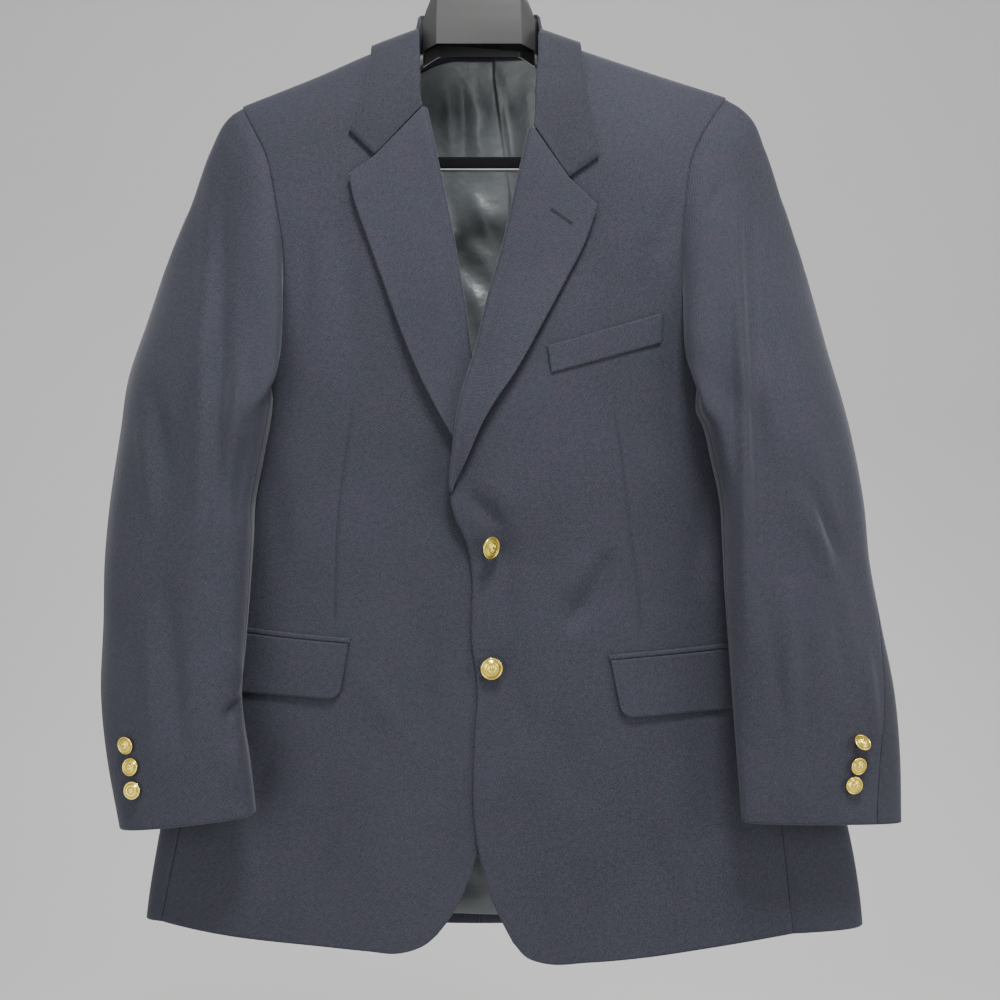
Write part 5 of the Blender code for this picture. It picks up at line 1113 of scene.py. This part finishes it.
def pocket_cloth(side):
    """A hip pocket's flap, and the jet above it."""
    inner, outer, top_in, top_out, deep_in, deep_out = FLAP[side]
    start = float(angle_of(inner, top_in, side))
    turn = float(angle_of(outer, top_out, side)) - start
    length = abs(outer - inner) * 1.12
    c = FLAP_CORNER
    corner = c * (1.0 - np.cos(np.linspace(0.0, math.pi / 2, 9)))
    d = np.concatenate([corner, np.linspace(c, length - c, 40)[1:-1], length - corner[::-1]])
    u = d / length
    end = np.minimum(d, length - d)
    rise = c - np.sqrt(np.maximum(c**2 - np.maximum(c - end, 0.0) ** 2, 0.0))
    top = top_in + (top_out - top_in) * u
    deep = deep_in + (deep_out - deep_in) * u - rise
    v = np.linspace(0.0, 1.0, 24)[:, None]
    angle = start + turn * u[None, :] + FLAP_LEAN / 0.25 * v * (1 - u)[None, :]
    z = (top - JET_HEIGHT - 0.0005)[None, :] - deep[None, :] * v
    ripple = 0.0007 * np.sin(2 * np.pi * (1.4 * u[None, :] + 0.2)) * v**2
    lift = FLAP_LIFT + CLOTH + 0.0016 * v + ripple
    laid_cloth("flap_" + hand(side), angle, z, side, lift, CLOTH, WOOL)
    u = np.linspace(-0.008, 1.008, 48)[None, :]
    v = np.linspace(0.0, 1.0, 5)[:, None]
    z = top_in + (top_out - top_in) * u - JET_HEIGHT * v
    jet_lift = FLAP_LIFT + TRIM + 0.0004 * np.sin(np.pi * v)
    jet = "pocket_jet_" + hand(side)
    laid_cloth(jet, start + turn * u, z, side, jet_lift, TRIM, WOOL_PRESSED_PAINTED_LIGHT)


def welt_cloth():
    a, b, c, d = (np.array(p) for p in WELT)
    u = np.linspace(0.0, 1.0, 40)[None, :, None]
    v = np.linspace(0.0, 1.0, 12)[:, None, None]
    flat = (a * (1 - u) + b * u) * (1 - v) + (d * (1 - u) + c * u) * v
    angle = angle_of(flat[..., 0], flat[..., 1], 1)
    lift = FLAP_LIFT + TRIM + 0.0005 * v[..., 0] + 0 * angle
    laid_cloth("breast_welt", angle, flat[..., 1], 1, lift, TRIM, WOOL_PRESSED_PAINTED_LIGHT)


# ---------------------------------------------------------------- lining
def pleat_x(z):
    """The pleat's fold runs down from the neck at a slant, then straight."""
    return PLEAT_X + PLEAT_SLANT * np.clip((PLEAT_TOP_Z - z) / 0.11, 0.0, 1.0)


def lining_cloth():
    """The lining of the back, with its pleat and folds; it bags a little above the hem."""
    v = np.linspace(0.0, 1.0, 130)[:, None]
    sides = (np.linspace(-1.0, -0.03, 44), np.linspace(-0.02, 0.03, 12), np.linspace(0.04, 1.0, 40))
    share = np.concatenate(sides)
    x = share[None, :] * LINING_HALF_WIDTH
    top = -0.1572 - 0.0128 * ease((np.abs(x) - 0.03) / 0.05) - 0.046 * ease((np.abs(x) - 0.05) / 0.11)
    z = LINING_LOW_Z + (top - LINING_LOW_Z) * v
    x = x + pleat_x(z) * (1.0 - np.abs(share[None, :]))
    away = pleat_x(z) - x
    pleat = PLEAT_DEPTH * between(away, -0.0006, 0.0012, PLEAT_WIDTH, 0.05)
    fold = np.maximum(1.5 * fold_height(LINING_FOLDS, x, z), -0.002)
    sewn = 0.4 * ease((v - 0.97) / 0.03)
    bag = 0.003 * ease((0.04 - v) / 0.03) - 0.001 * ease((0.012 - v) / 0.01)
    depth = CLOTH + LINING_EASE * (1.0 - sewn) + pleat + fold + bag
    side_of = np.where(x >= 0, 1, -1)
    outer, normal = np.zeros((*x.shape, 3)), np.zeros((*x.shape, 3))
    for side in (1, -1):
        use = side_of == side
        angle = angle_of(x[use], z[use], side, back=True)
        normal[use] = body_normal(angle, z[use], side)
        outer[use] = body(angle, z[use], side) - normal[use] * depth[use][:, None]
    cloth("lining_back", outer, normal, LINING, SATIN)


# ---------------------------------------------------------------- buttons and buttonholes
def button_profile(r, shank):
    rows = [(0.0, 0.0), (0.24 * r, 0.0), (0.24 * r, shank * 0.9), (SHANK_SHARE * r, shank)]
    return rows + [(across * r, shank + up * r) for across, up in BUTTON_FACE]


def button(node, base, turn, tilt, r, shank):
    """A domed brass button: a milled rim, a twisted ring and a plain eight-petalled flower."""
    vertices, faces = lathe(button_profile(r, shank), BUTTON_SIDES)
    points = np.array(vertices)
    radius = np.hypot(points[:, 0], points[:, 1]) / r
    angle = np.arctan2(points[:, 1], points[:, 0])
    on_face = points[:, 2] > shank + 0.1 * r
    rope = 0.012 * np.sin(24 * angle + 14.0 * radius) * np.exp(-(((radius - 0.56) / 0.045) ** 2))
    milled = 0.008 * np.cos(36 * angle) * np.exp(-(((radius - 0.96) / 0.05) ** 2))
    petal = 0.055 * np.abs(np.cos(4 * angle)) ** 0.7 * np.exp(-(((radius - 0.27) / 0.12) ** 2))
    points[:, 2] += on_face * r * (rope + milled + petal)
    # Painted shade: the relief's hollows and the middle between the petals get a mask that darkens the
    # brass.
    low = np.clip((0.4 - (points[:, 2] - shank) / r) / 0.22, 0.0, 1.0) * (radius < 0.9)
    low = np.maximum(low * 0.7, (radius < 0.5) * np.clip(1.0 - petal / 0.03, 0.0, 1.0) * 0.8) * on_face
    place = Matrix.Translation(Vector(base))
    for degrees, axis in ((turn, "Z"), (tilt, "X"), (90.0, "X")):
        place = place @ Matrix.Rotation(math.radians(degrees), 4, axis)
    obj = mesh_object(node + "_brass", [place @ Vector(p) for p in points], faces, BRASS_METAL)
    recess_shade = obj.data.attributes.new("recess_shade", "FLOAT", "POINT")
    recess_shade.data.foreach_set("value", low.astype(np.float32))
    dress(obj, [node])


def buttons():
    """The two front buttons and the three of each cuff, tilted on their shanks."""
    for label, (x, z, turn, tilt, clear) in FRONT_BUTTONS.items():
        normal = body_normal(angle_of(x, z, 1), np.array(z), 1)
        slope = off_square(normal, turn, tilt)
        base = raised(x, z, 1, clear + SHANK_SHARE * FRONT_BUTTON_R * slope)
        shank = FRONT_SHANK + 0.85 * FRONT_BUTTON_R * slope
        button("front_button_" + label, base, turn, tilt, FRONT_BUTTON_R, shank)
    for side in (1, -1):
        for label, (x, z, turn, tilt) in CUFF_BUTTONS[side].items():
            point, normal = sleeve_spot(x, z, side)
            slope = off_square(normal, turn, tilt)
            base = point + normal * (0.0004 + SHANK_SHARE * CUFF_BUTTON_R * slope)
            shank = CUFF_SHANK + 0.8 * CUFF_BUTTON_R * slope
            button("cuff_button_" + hand(side) + "_" + label, base, turn, tilt, CUFF_BUTTON_R, shank)


def buttonhole(name, ends):
    """A worked buttonhole, stitched round a slit; each of its ends is a place and the cloth's normal."""
    (first, normal_first), (last, normal_last) = ends
    a = np.linspace(0.0, 2 * math.pi, 60)
    share = (0.5 - 0.5 * np.cos(a))[:, None]
    line, length = last - first, float(np.linalg.norm(last - first))
    normals = unit(normal_first * (1 - share) + normal_last * share)
    aside = unit(np.cross(line, normal_first))
    rounding = np.minimum(1.0, np.abs(np.sin(a)) * length / HOLE_WIDTH / 3.0)
    spread = (HOLE_WIDTH * np.sign(np.sin(a)) * rounding)[:, None]
    path = first + line * share + aside * spread + normals * 0.0002
    run = np.concatenate([[0.0], np.cumsum(np.linalg.norm(np.diff(path, axis=0), axis=1))])
    sizes = HOLE_THREAD * (1.0 + 0.22 * np.cos(2 * math.pi * run / HOLE_STITCH))
    dress(mesh_object(name, *round_tube(path, normals, sizes, 8), THREAD), [])


def on_grid(points, normal, x, z):
    """The grid's place and normal nearest to an x and z, averaged over its neighbours."""
    away = (points[..., 0] - x) ** 2 + (points[..., 2] - z) ** 2
    weight = np.exp(-away / 0.0015**2)[..., None]
    total = weight.sum()
    return (points * weight).sum(axis=(0, 1)) / total, unit((normal * weight).sum(axis=(0, 1)))


def buttonholes(face, normal):
    """The buttonhole of the wearer's left lapel, on its face, and the two of the left front."""
    flat = slice(len(ROLL_ANGLES), None)
    spots = [on_grid(face[:, flat], normal[:, flat], *at) for at in LAPEL_HOLE]
    spots = [(place + out * HOLE_LIFT, out) for place, out in spots]
    buttonhole("lapel_buttonhole", spots)
    for label, ends in FRONT_HOLES.items():
        spots = []
        for at in ends:
            square = body_normal(angle_of(*at, 1), np.array(at[1]), 1)
            spots.append((creased(raised(*at, 1, HOLE_LIFT), square, 1, FRONT_CREASES), square))
        buttonhole("front_buttonhole_" + label, spots)


# ---------------------------------------------------------------- hanger
# Neck of the hanger: height, half width of its front facet, half width in all, front, back
YOKE = ((-0.07, 0.01, 0.015, -0.015, 0.009), (-0.076, 0.017, 0.0215, -0.0178, 0.0118),
        (-0.085, 0.024, 0.029, -0.02, 0.014), (-0.097, 0.032, 0.037, -0.0218, 0.0158),
        (-0.1094, 0.0385, 0.0447, -0.0225, 0.0165), (-0.1216, 0.0388, 0.0496, -0.0225, 0.0165),
        (-0.131, 0.039, 0.0523, -0.0225, 0.0165), (-0.1562, 0.039, 0.0523, -0.0225, 0.0165))
YOKE_DROPS = (0.0, 0.0024, 0.0128, 0.0012)  # of its underside: front, side before, side behind, back
YOKE_RIM, YOKE_HOLLOW, YOKE_BEVEL, RIM_R = 0.0014, 0.012, 0.0007, 0.0007


def yoke_ring(z, facet, half, front, back, drops=(0.0, 0.0, 0.0, 0.0)):
    side_front, side_back = front * 0.3, back * 0.35
    a, b, c, d = drops
    ring = ((-facet, front, a), (facet, front, a), (half, side_front, b), (half, side_back, c),
            (facet, back, d), (-facet, back, d), (-half, side_back, c), (-half, side_front, b))
    return [(x, y, z - drop) for x, y, drop in ring]


def hanger_neck():
    """The faceted neck, hollow from below, with its edges to be rounded."""
    *rows, (z, facet, half, front, back) = YOKE
    inset = (facet - 0.0006, half - YOKE_RIM, front + YOKE_RIM, back - YOKE_RIM)
    rings = [yoke_ring(*row) for row in rows]
    rings.append(yoke_ring(z, facet, half, front, back, YOKE_DROPS))
    rings.append(yoke_ring(z, *inset, YOKE_DROPS))
    rings.append(yoke_ring(z + YOKE_HOLLOW, *inset, YOKE_DROPS))
    neck = mesh_object("hanger_yoke_form", *tube(rings), PLASTIC, sharp=25.0)
    # The hollow's inner faces take a near-black copy of the plastic: painted shade.
    neck.data.materials.append(HOLLOW_PAINTED_SHADE)
    for face in neck.data.polygons:
        face.material_index = int(min(face.vertices) >= 8 * (len(rings) - 2))
    bevel = neck.modifiers.new("bevel", "BEVEL")
    bevel.width, bevel.segments = YOKE_BEVEL, 3
    bevel.limit_method, bevel.angle_limit = "ANGLE", math.radians(20.0)
    return neck


def hanger_arm(side):
    """One arm, from inside the neck to its rounded end."""
    table = np.array(HANGER_ARM)
    sections = []
    for x in np.concatenate([np.linspace(table[0, 0], 0.192, 40), np.linspace(0.193, table[-1, 0], 8)]):
        height, thick = (float(through(table[:, 0], table[:, k], x)) for k in (1, 2))
        top = arm_top(side * x)
        sections.append(hanger_section(side * x, top, top - height, thick, 2.6, 32))
    return mesh_object("hanger_arm_form", *tube(sections), PLASTIC, sharp=50.0)


def hanger_piece():
    """Neck and arms in one mesh, and a painted highlight: a lighter rim along the neck's lower edge behind.
    """
    parts = [hanger_neck(), hanger_arm(-1), hanger_arm(1)]
    joined = bmesh.new()
    graph = bpy.context.evaluated_depsgraph_get()
    for part in parts:
        joined.from_mesh(part.evaluated_get(graph).to_mesh())
    mesh = bpy.data.meshes.new("hanger_moulding")
    joined.to_mesh(mesh)
    joined.free()
    for part in parts:
        bpy.data.objects.remove(part, do_unlink=True)
    for finish in (PLASTIC, HOLLOW_PAINTED_SHADE):
        mesh.materials.append(finish)
    mesh.shade_smooth()
    mesh.set_sharp_from_angle(angle=math.radians(28.0))
    dress(in_scene("hanger_moulding", mesh), ["hanger_body"])
    low = yoke_ring(*YOKE[-1], YOKE_DROPS)
    corners = np.array(low[6:2:-1]) - np.array([0.0, 0.0006, 0.0006])
    path = along(corners, np.linspace(0.0, 1.0, 90))
    rim = round_tube(path, np.broadcast_to(BACKWARD, path.shape), np.full(len(path), RIM_R), 10)
    dress(mesh_object("hanger_rim_painted_highlight", *rim, PAINTED_HIGHLIGHT_AND_CORE_GREY, sharp=60.0), [])


def bar_path():
    """From arm to arm: x and z of the bar's path, and the direction in which its outer face looks."""
    path = []
    for side in (-1, 1):
        half = [(side * BAR_X, arm_underside(side * BAR_X) + 0.003, side * 1.0, 0.0)]
        for degree in np.linspace(0.0, 90.0, 13):
            a = math.radians(degree)
            x = side * (BAR_X - BAR_BEND + BAR_BEND * math.cos(a))
            half.append((x, BAR_Z + BAR_BEND - BAR_BEND * math.sin(a), side * math.cos(a), -math.sin(a)))
        half += [(side * x, BAR_Z, 0.0, -1.0) for x in np.linspace(0.15, 0.01, 12)]
        path += half if side < 0 else half[::-1]
    return path


def bar_sections(low, high, depth):
    """Rounded sections square to the bar's path, from its inner to its outer face."""
    sections = []
    middle, half = (high + low) / 2, (high - low) / 2
    for x, z, nx, nz in bar_path():
        ring = []
        upright = float(ease((z + 0.25) / 0.03))
        y = BAR_Y * (1 - upright) + hanger_lean(x) * upright
        for turn in np.radians(np.arange(0.0, 360.0, 15.0)):
            c, s = math.cos(turn), math.sin(turn)
            n = (abs(c) ** 6 + abs(s) ** 6) ** (1 / 6)
            across = middle + half * s / n
            ring.append((x - nx * across, y + depth / 2 * c / n, z - nz * across))
        sections.append(ring)
    return sections


def bar_pieces():
    """The flocked bar and the core that shows along its inner face."""
    outside = tube(bar_sections(-0.0046, BAR_HEIGHT / 2, BAR_DEPTH))
    dress(mesh_object("trouser_bar_flock", *outside, FLOCK, sharp=50.0), ["trouser_bar"])
    core = tube(bar_sections(-0.0064, -0.0047, BAR_DEPTH * 0.96))
    dress(mesh_object("trouser_bar_core", *core, PAINTED_HIGHLIGHT_AND_CORE_GREY, sharp=50.0), [])


def hook_piece():
    """The wire hook with its tapered end, and the small collar that it stands in."""
    start, end = np.radians(HOOK_ARC)
    ring_z = HOOK_WIRE_R - HOOK_RING_R
    points = list(HOOK_STEM)
    for a in np.append(np.linspace(start, end, 70)[::6], end):
        points.append((HOOK_RING_R * math.cos(a), 0.0, ring_z + HOOK_RING_R * math.sin(a)))
    path = along(points, np.linspace(0.0, 1.0, 120))
    from_end = np.arange(len(path) - 1, -1, -1)
    sizes = HOOK_WIRE_R * np.minimum(1.0, 0.35 + 0.65 * np.sqrt(np.minimum(1.0, from_end / 2.0)))
    wire = round_tube(path, np.broadcast_to(BACKWARD, path.shape), sizes, 20)
    dress(mesh_object("hook_wire", *wire, STEEL, sharp=60.0), ["hook"])
    vertices, faces = lathe(HOOK_COLLAR, 32)
    vertices = [(x, y + HOOK_COLLAR_Y, z) for x, y, z in vertices]
    dress(mesh_object("hook_collar", vertices, faces, STEEL, sharp=40.0), [])


# ---------------------------------------------------------------- materials
class Nodes:
    """Short ways to build a material's nodes."""

    def __init__(self, name, colour, roughness, metallic=0.0):
        self.material = bpy.data.materials.new(name)
        self.material.use_nodes = True
        self.tree = self.material.node_tree
        self.shader = self.tree.nodes["Principled BSDF"]
        self.put("Base Color", (*colour, 1.0))
        self.put("Roughness", roughness)
        self.put("Metallic", metallic)

    def add(self, kind, **settings):
        node = self.tree.nodes.new(kind)
        for key, value in settings.items():
            if key in node.inputs:
                node.inputs[key].default_value = value
            else:
                setattr(node, key, value)
        return node

    def feed(self, socket, value):
        """Link a node's output to a socket, or set a plain value on it."""
        if isinstance(value, bpy.types.NodeSocket):
            self.tree.links.new(value, socket)
        else:
            socket.default_value = value

    def put(self, name, value):
        self.feed(self.shader.inputs[name], value)

    def math(self, operation, a, b=0.0):
        node = self.add("ShaderNodeMath", operation=operation)
        self.feed(node.inputs[0], a)
        self.feed(node.inputs[1], b)
        return node.outputs[0]

    def total(self, *parts, offset=None):
        """The sum of values, each times its gain, and of the offset."""
        scaled = [self.math("MULTIPLY", value, gain) for value, gain in parts]
        if offset is not None:
            scaled.append(offset)
        result = scaled[0]
        for part in scaled[1:]:
            result = self.math("ADD", result, part)
        return result

    def noise(self, vector, scale, detail=2.0, roughness=0.5):
        node = self.add("ShaderNodeTexNoise", Scale=scale, Detail=detail, Roughness=roughness)
        self.feed(node.inputs["Vector"], vector)
        return node.outputs["Fac"]

    def blend(self, factor, first, second):
        mix = self.add("ShaderNodeMix", data_type="RGBA", A=(*first, 1.0), B=(*second, 1.0))
        self.feed(mix.inputs["Factor"], factor)
        return mix.outputs["Result"]

    def bump(self, height, strength, distance, before=None):
        node = self.add("ShaderNodeBump", Strength=strength, Distance=distance)
        self.feed(node.inputs["Height"], height)
        if before is not None:
            self.feed(node.inputs["Normal"], before)
        return node.outputs["Normal"]

    def attribute(self, name, output="Vector"):
        return self.add("ShaderNodeAttribute", attribute_name=name).outputs[output]

    def place(self):
        return self.add("ShaderNodeTexCoord").outputs["Object"]


TWILL_PITCH, TWILL_SLOPE = 0.0034, 1.3
BRASS_YELLOW, BRASS_PAINTED_SHADE = (1.0, 0.79, 0.14), (0.3, 0.17, 0.02)
WOOL_GREEN, WOOL_PLUM = (0.023, 0.0266, 0.0361), (0.0277, 0.0257, 0.039)


def wool(name, painted_tone=1.0, twill=0.4):
    """Worsted twill: a fine diagonal rib, the heather of its yarns and a faint unevenness of the cloth."""
    n = Nodes(name, WOOL_GREEN, 0.8)
    threads, place = n.attribute("threads"), n.place()
    split = n.add("ShaderNodeSeparateXYZ")
    n.feed(split.inputs[0], threads)
    across, up = split.outputs["X"], split.outputs["Y"]
    wander = n.noise(threads, 160.0)
    diagonal = n.math("ADD", up, n.total((across, -TWILL_SLOPE), (wander, 0.003)))
    rib = n.math("SINE", n.math("MULTIPLY", diagonal, 2 * math.pi / TWILL_PITCH))
    heather = n.noise(threads, 760.0, 3.0, 0.75)
    slub = n.noise(threads, 230.0, 2.0, 0.6)
    broad = n.noise(place, 9.0, 3.0, 0.55)
    # The tone argument paints light (above 1) and shade (below 1) into a whole copy of the wool.
    tone = n.total((heather, 3.0), (slub, 0.75), (broad, 0.45), (rib, 0.085), offset=painted_tone - 2.1)
    mottle = n.noise(place, 55.0, 2.0, 0.6)
    hue = n.blend(n.total((mottle, 2.0), offset=-0.5), WOOL_GREEN, WOOL_PLUM)
    scaled = n.add("ShaderNodeVectorMath", operation="SCALE")
    n.feed(scaled.inputs[0], hue)
    n.feed(scaled.inputs["Scale"], n.math("MAXIMUM", tone, 0.15))
    n.put("Base Color", scaled.outputs[0])
    n.put("Roughness", n.total((heather, 0.14), offset=0.7))
    normal = n.bump(heather, 0.5, 0.0004, n.bump(rib, twill, 0.00016))
    n.put("Normal", n.bump(broad, 0.25, 0.003, normal))
    n.put("Sheen Weight", 0.2)
    n.put("Sheen Roughness", 0.42)
    n.put("Sheen Tint", (0.7, 0.7, 0.76, 1.0))
    n.put("Specular IOR Level", 0.28)
    return n.material


def satin():
    n = Nodes("lining_satin", DARK_LINING, 0.4)
    place = n.place()
    fine = n.noise(n.attribute("threads"), 900.0, 2.0, 0.6)
    cloud = n.noise(place, 30.0, 3.0, 0.55)
    tone = n.total((fine, 0.25), (cloud, 0.65))
    n.put("Base Color", n.blend(tone, (0.05, 0.058, 0.062), (0.135, 0.147, 0.152)))
    crumple = n.noise(place, 62.0, 3.0, 0.5)
    n.put("Normal", n.bump(fine, 0.15, 0.0002, n.bump(crumple, 0.35, 0.004)))
    n.put("Roughness", n.total((cloud, 0.16), offset=0.33))
    n.put("Sheen Weight", 0.15)
    return n.material


def thread():
    n = Nodes("silk_thread", (0.006, 0.007, 0.012), 0.55)
    tone = n.noise(n.place(), 2600.0, 2.0)
    n.put("Base Color", n.blend(tone, (0.004, 0.005, 0.009), (0.014, 0.017, 0.028)))
    return n.material


def brass():
    """Yellow metal with painted shade in the relief's hollows, where it is also duller."""
    n = Nodes("button_brass", BRASS_YELLOW, 0.27, 0.84)
    recess_shade = n.attribute("recess_shade", "Fac")
    stain = n.noise(n.place(), 700.0, 3.0, 0.6)
    # The hollows' mask paints shade into the colour; the stain noise adds random spots.
    factor = n.total((recess_shade, 0.75), (stain, 0.1))
    n.put("Base Color", n.blend(factor, BRASS_YELLOW, BRASS_PAINTED_SHADE))
    n.put("Roughness", n.total((factor, 0.22), offset=0.17))
    n.put("Normal", n.bump(stain, 0.12, 0.0002))
    return n.material


def plastic(name, dark, light):
    n = Nodes(name, dark, 0.45)
    place = n.place()
    grain = n.noise(place, 1500.0, 2.0, 0.6)
    cloud = n.noise(place, 22.0, 3.0, 0.5)
    tone = n.total((grain, 0.9), (cloud, 0.5), offset=-0.2)
    n.put("Base Color", n.blend(tone, dark, light))
    n.put("Normal", n.bump(grain, 0.25, 0.0002))
    n.put("Roughness", n.total((grain, 0.1), offset=0.42))
    return n.material


def flock():
    n = Nodes("black_flock", VELVET, 0.95)
    pile = n.noise(n.place(), 2200.0, 2.0, 0.7)
    n.put("Base Color", n.blend(pile, (0.002, 0.002, 0.0024), (0.0065, 0.0065, 0.0075)))
    n.put("Normal", n.bump(pile, 0.5, 0.0003))
    n.put("Sheen Weight", 0.05)
    n.put("Specular IOR Level", 0.15)
    return n.material


def steel():
    n = Nodes("hook_plating", CHROME, 0.22, 1.0)
    brushed = n.noise(n.place(), 900.0, 2.0)
    n.put("Base Color", n.blend(brushed, (0.56, 0.56, 0.57), (0.7, 0.7, 0.7)))
    n.put("Roughness", n.total((brushed, 0.1), offset=0.18))
    return n.material


WOOL = wool("navy_twill")
# Lapels, jets and welt: a copy made lighter as painted light, with a flatter pressed rib.
WOOL_PRESSED_PAINTED_LIGHT = wool("navy_twill_pressed_painted_light", 1.08, 0.3)
# Under sleeves and collar stand: a darker copy of the wool, painted shade.
WOOL_PAINTED_SHADE = wool("navy_twill_painted_shade", 0.9)
# Collar: a darker copy that offsets the light its upturned face catches, painted shade.
WOOL_COLLAR_PAINTED_SHADE = wool("navy_twill_collar_painted_shade", 0.8, 0.3)
SATIN, THREAD, BRASS_METAL = satin(), thread(), brass()
PLASTIC = plastic("hanger_grey", (0.037, 0.037, 0.036), (0.058, 0.058, 0.056))
# Near-black copy for the neck's hollow: painted shade.
HOLLOW_PAINTED_SHADE = plastic("hanger_hollow_painted_shade", (0.003, 0.003, 0.0034), (0.005, 0.005, 0.0056))
# Pale grey: a painted highlight on the neck's rim, and the colour of the bar's core.
PAINTED_HIGHLIGHT_AND_CORE_GREY = plastic("core_grey_and_painted_highlight", (0.26, 0.26, 0.26), (0.36, 0.36, 0.355))
FLOCK, STEEL = flock(), steel()


# ---------------------------------------------------------------- the object
def dress_model():
    """Every piece, the wearer's left half before the right one."""
    for side in (1, -1):
        front_cloth(side)
        side_body_cloth(side)
        back_cloth(side)
        sleeve_cloth(side, True)
        sleeve_cloth(side, False)
        lapel = lapel_cloth(side)
        pocket_cloth(side)
        if side > 0:
            buttonholes(*lapel)
    # The collar takes a darker copy of the wool: painted shade.
    collar_piece("collar_fall", collar_half, 2, CLOTH, WOOL_COLLAR_PAINTED_SHADE)
    # The stand takes the darker copy of the wool: painted shade.
    collar_piece("collar_stand", collar_stand_half, 1, STAND, WOOL_PAINTED_SHADE)
    welt_cloth()
    lining_cloth()
    buttons()
    hanger_piece()
    bar_pieces()
    hook_piece()


dress_model()


# ---------------------------------------------------------------- stage, light and camera
def stage():
    """A pale floor that curves up far behind the object."""
    profile = [(-4.0, 0.0), (1.2, 0.0)]
    for a in np.radians(np.arange(0.0, 91.0, 6.0)):
        profile.append((1.4 + 1.3 * math.sin(a), 1.3 - 1.3 * math.cos(a)))
    profile.append((2.7, 4.5))
    vertices = [(x, y, FLOOR_Z + z) for y, z in profile for x in (-6.0, 6.0)]
    faces = [(2 * i, 2 * i + 1, 2 * i + 3, 2 * i + 2) for i in range(len(profile) - 1)]
    floor = mesh_object("floor", vertices, faces, pale())


def pale():
    n = Nodes("pale_floor", STAGE_GREY, 0.9)
    lighter = [c * 1.04 for c in STAGE_GREY]
    n.put("Base Color", n.blend(n.noise(n.place(), 3.0, 2.0), STAGE_GREY, lighter))
    return n.material


def lamp(name, place, target, size, power):
    data = bpy.data.lights.new(name, "AREA")
    data.shape, data.size, data.energy = "DISK", size, power
    obj = in_scene(name, data)
    obj.location = place
    obj.rotation_euler = (Vector(target) - Vector(place)).to_track_quat("-Z", "Y").to_euler()


def camera():
    data = bpy.data.cameras.new("camera")
    data.lens, data.sensor_width, data.clip_start, data.clip_end = LENS, FILM_WIDTH, 0.05, 50.0
    obj = in_scene("camera", data)
    obj.location = CAMERA_PLACE
    obj.rotation_euler = (math.radians(90.0), 0.0, 0.0)
    bpy.context.scene.camera = obj


FLOOR_Z, STAGE_GREY = -1.45, (0.66, 0.65, 0.64)
CAMERA_PLACE, LENS, FILM_WIDTH = (0.0195, -1.41, -0.575), 54.43, 36.0
# Lamps: name, place, where they point, diameter, power
LAMPS = (
    ("key", (0.3, -1.22, 1.32), (0.0, 0.0, -0.54), 0.62, 68.0),
    ("fill", (-1.3, -2.3, -0.5), (0.0, 0.0, -0.62), 2.2, 39.0),
    ("side", (2.0, -1.3, -0.3), (0.25, 0.0, -0.5), 1.2, 23.0),
    ("back", (0.3, 1.9, 0.9), (0.0, 0.0, -0.5), 2.0, 27.0),
)
SKY, SKY_STRENGTH = (0.93, 0.96, 1.0, 1.0), 0.44
stage()
for row in LAMPS:
    lamp(*row)
world = bpy.data.worlds.new("studio")
world.use_nodes = True
sky = world.node_tree.nodes["Background"].inputs
sky["Color"].default_value, sky["Strength"].default_value = SKY, SKY_STRENGTH
bpy.context.scene.world = world
camera()
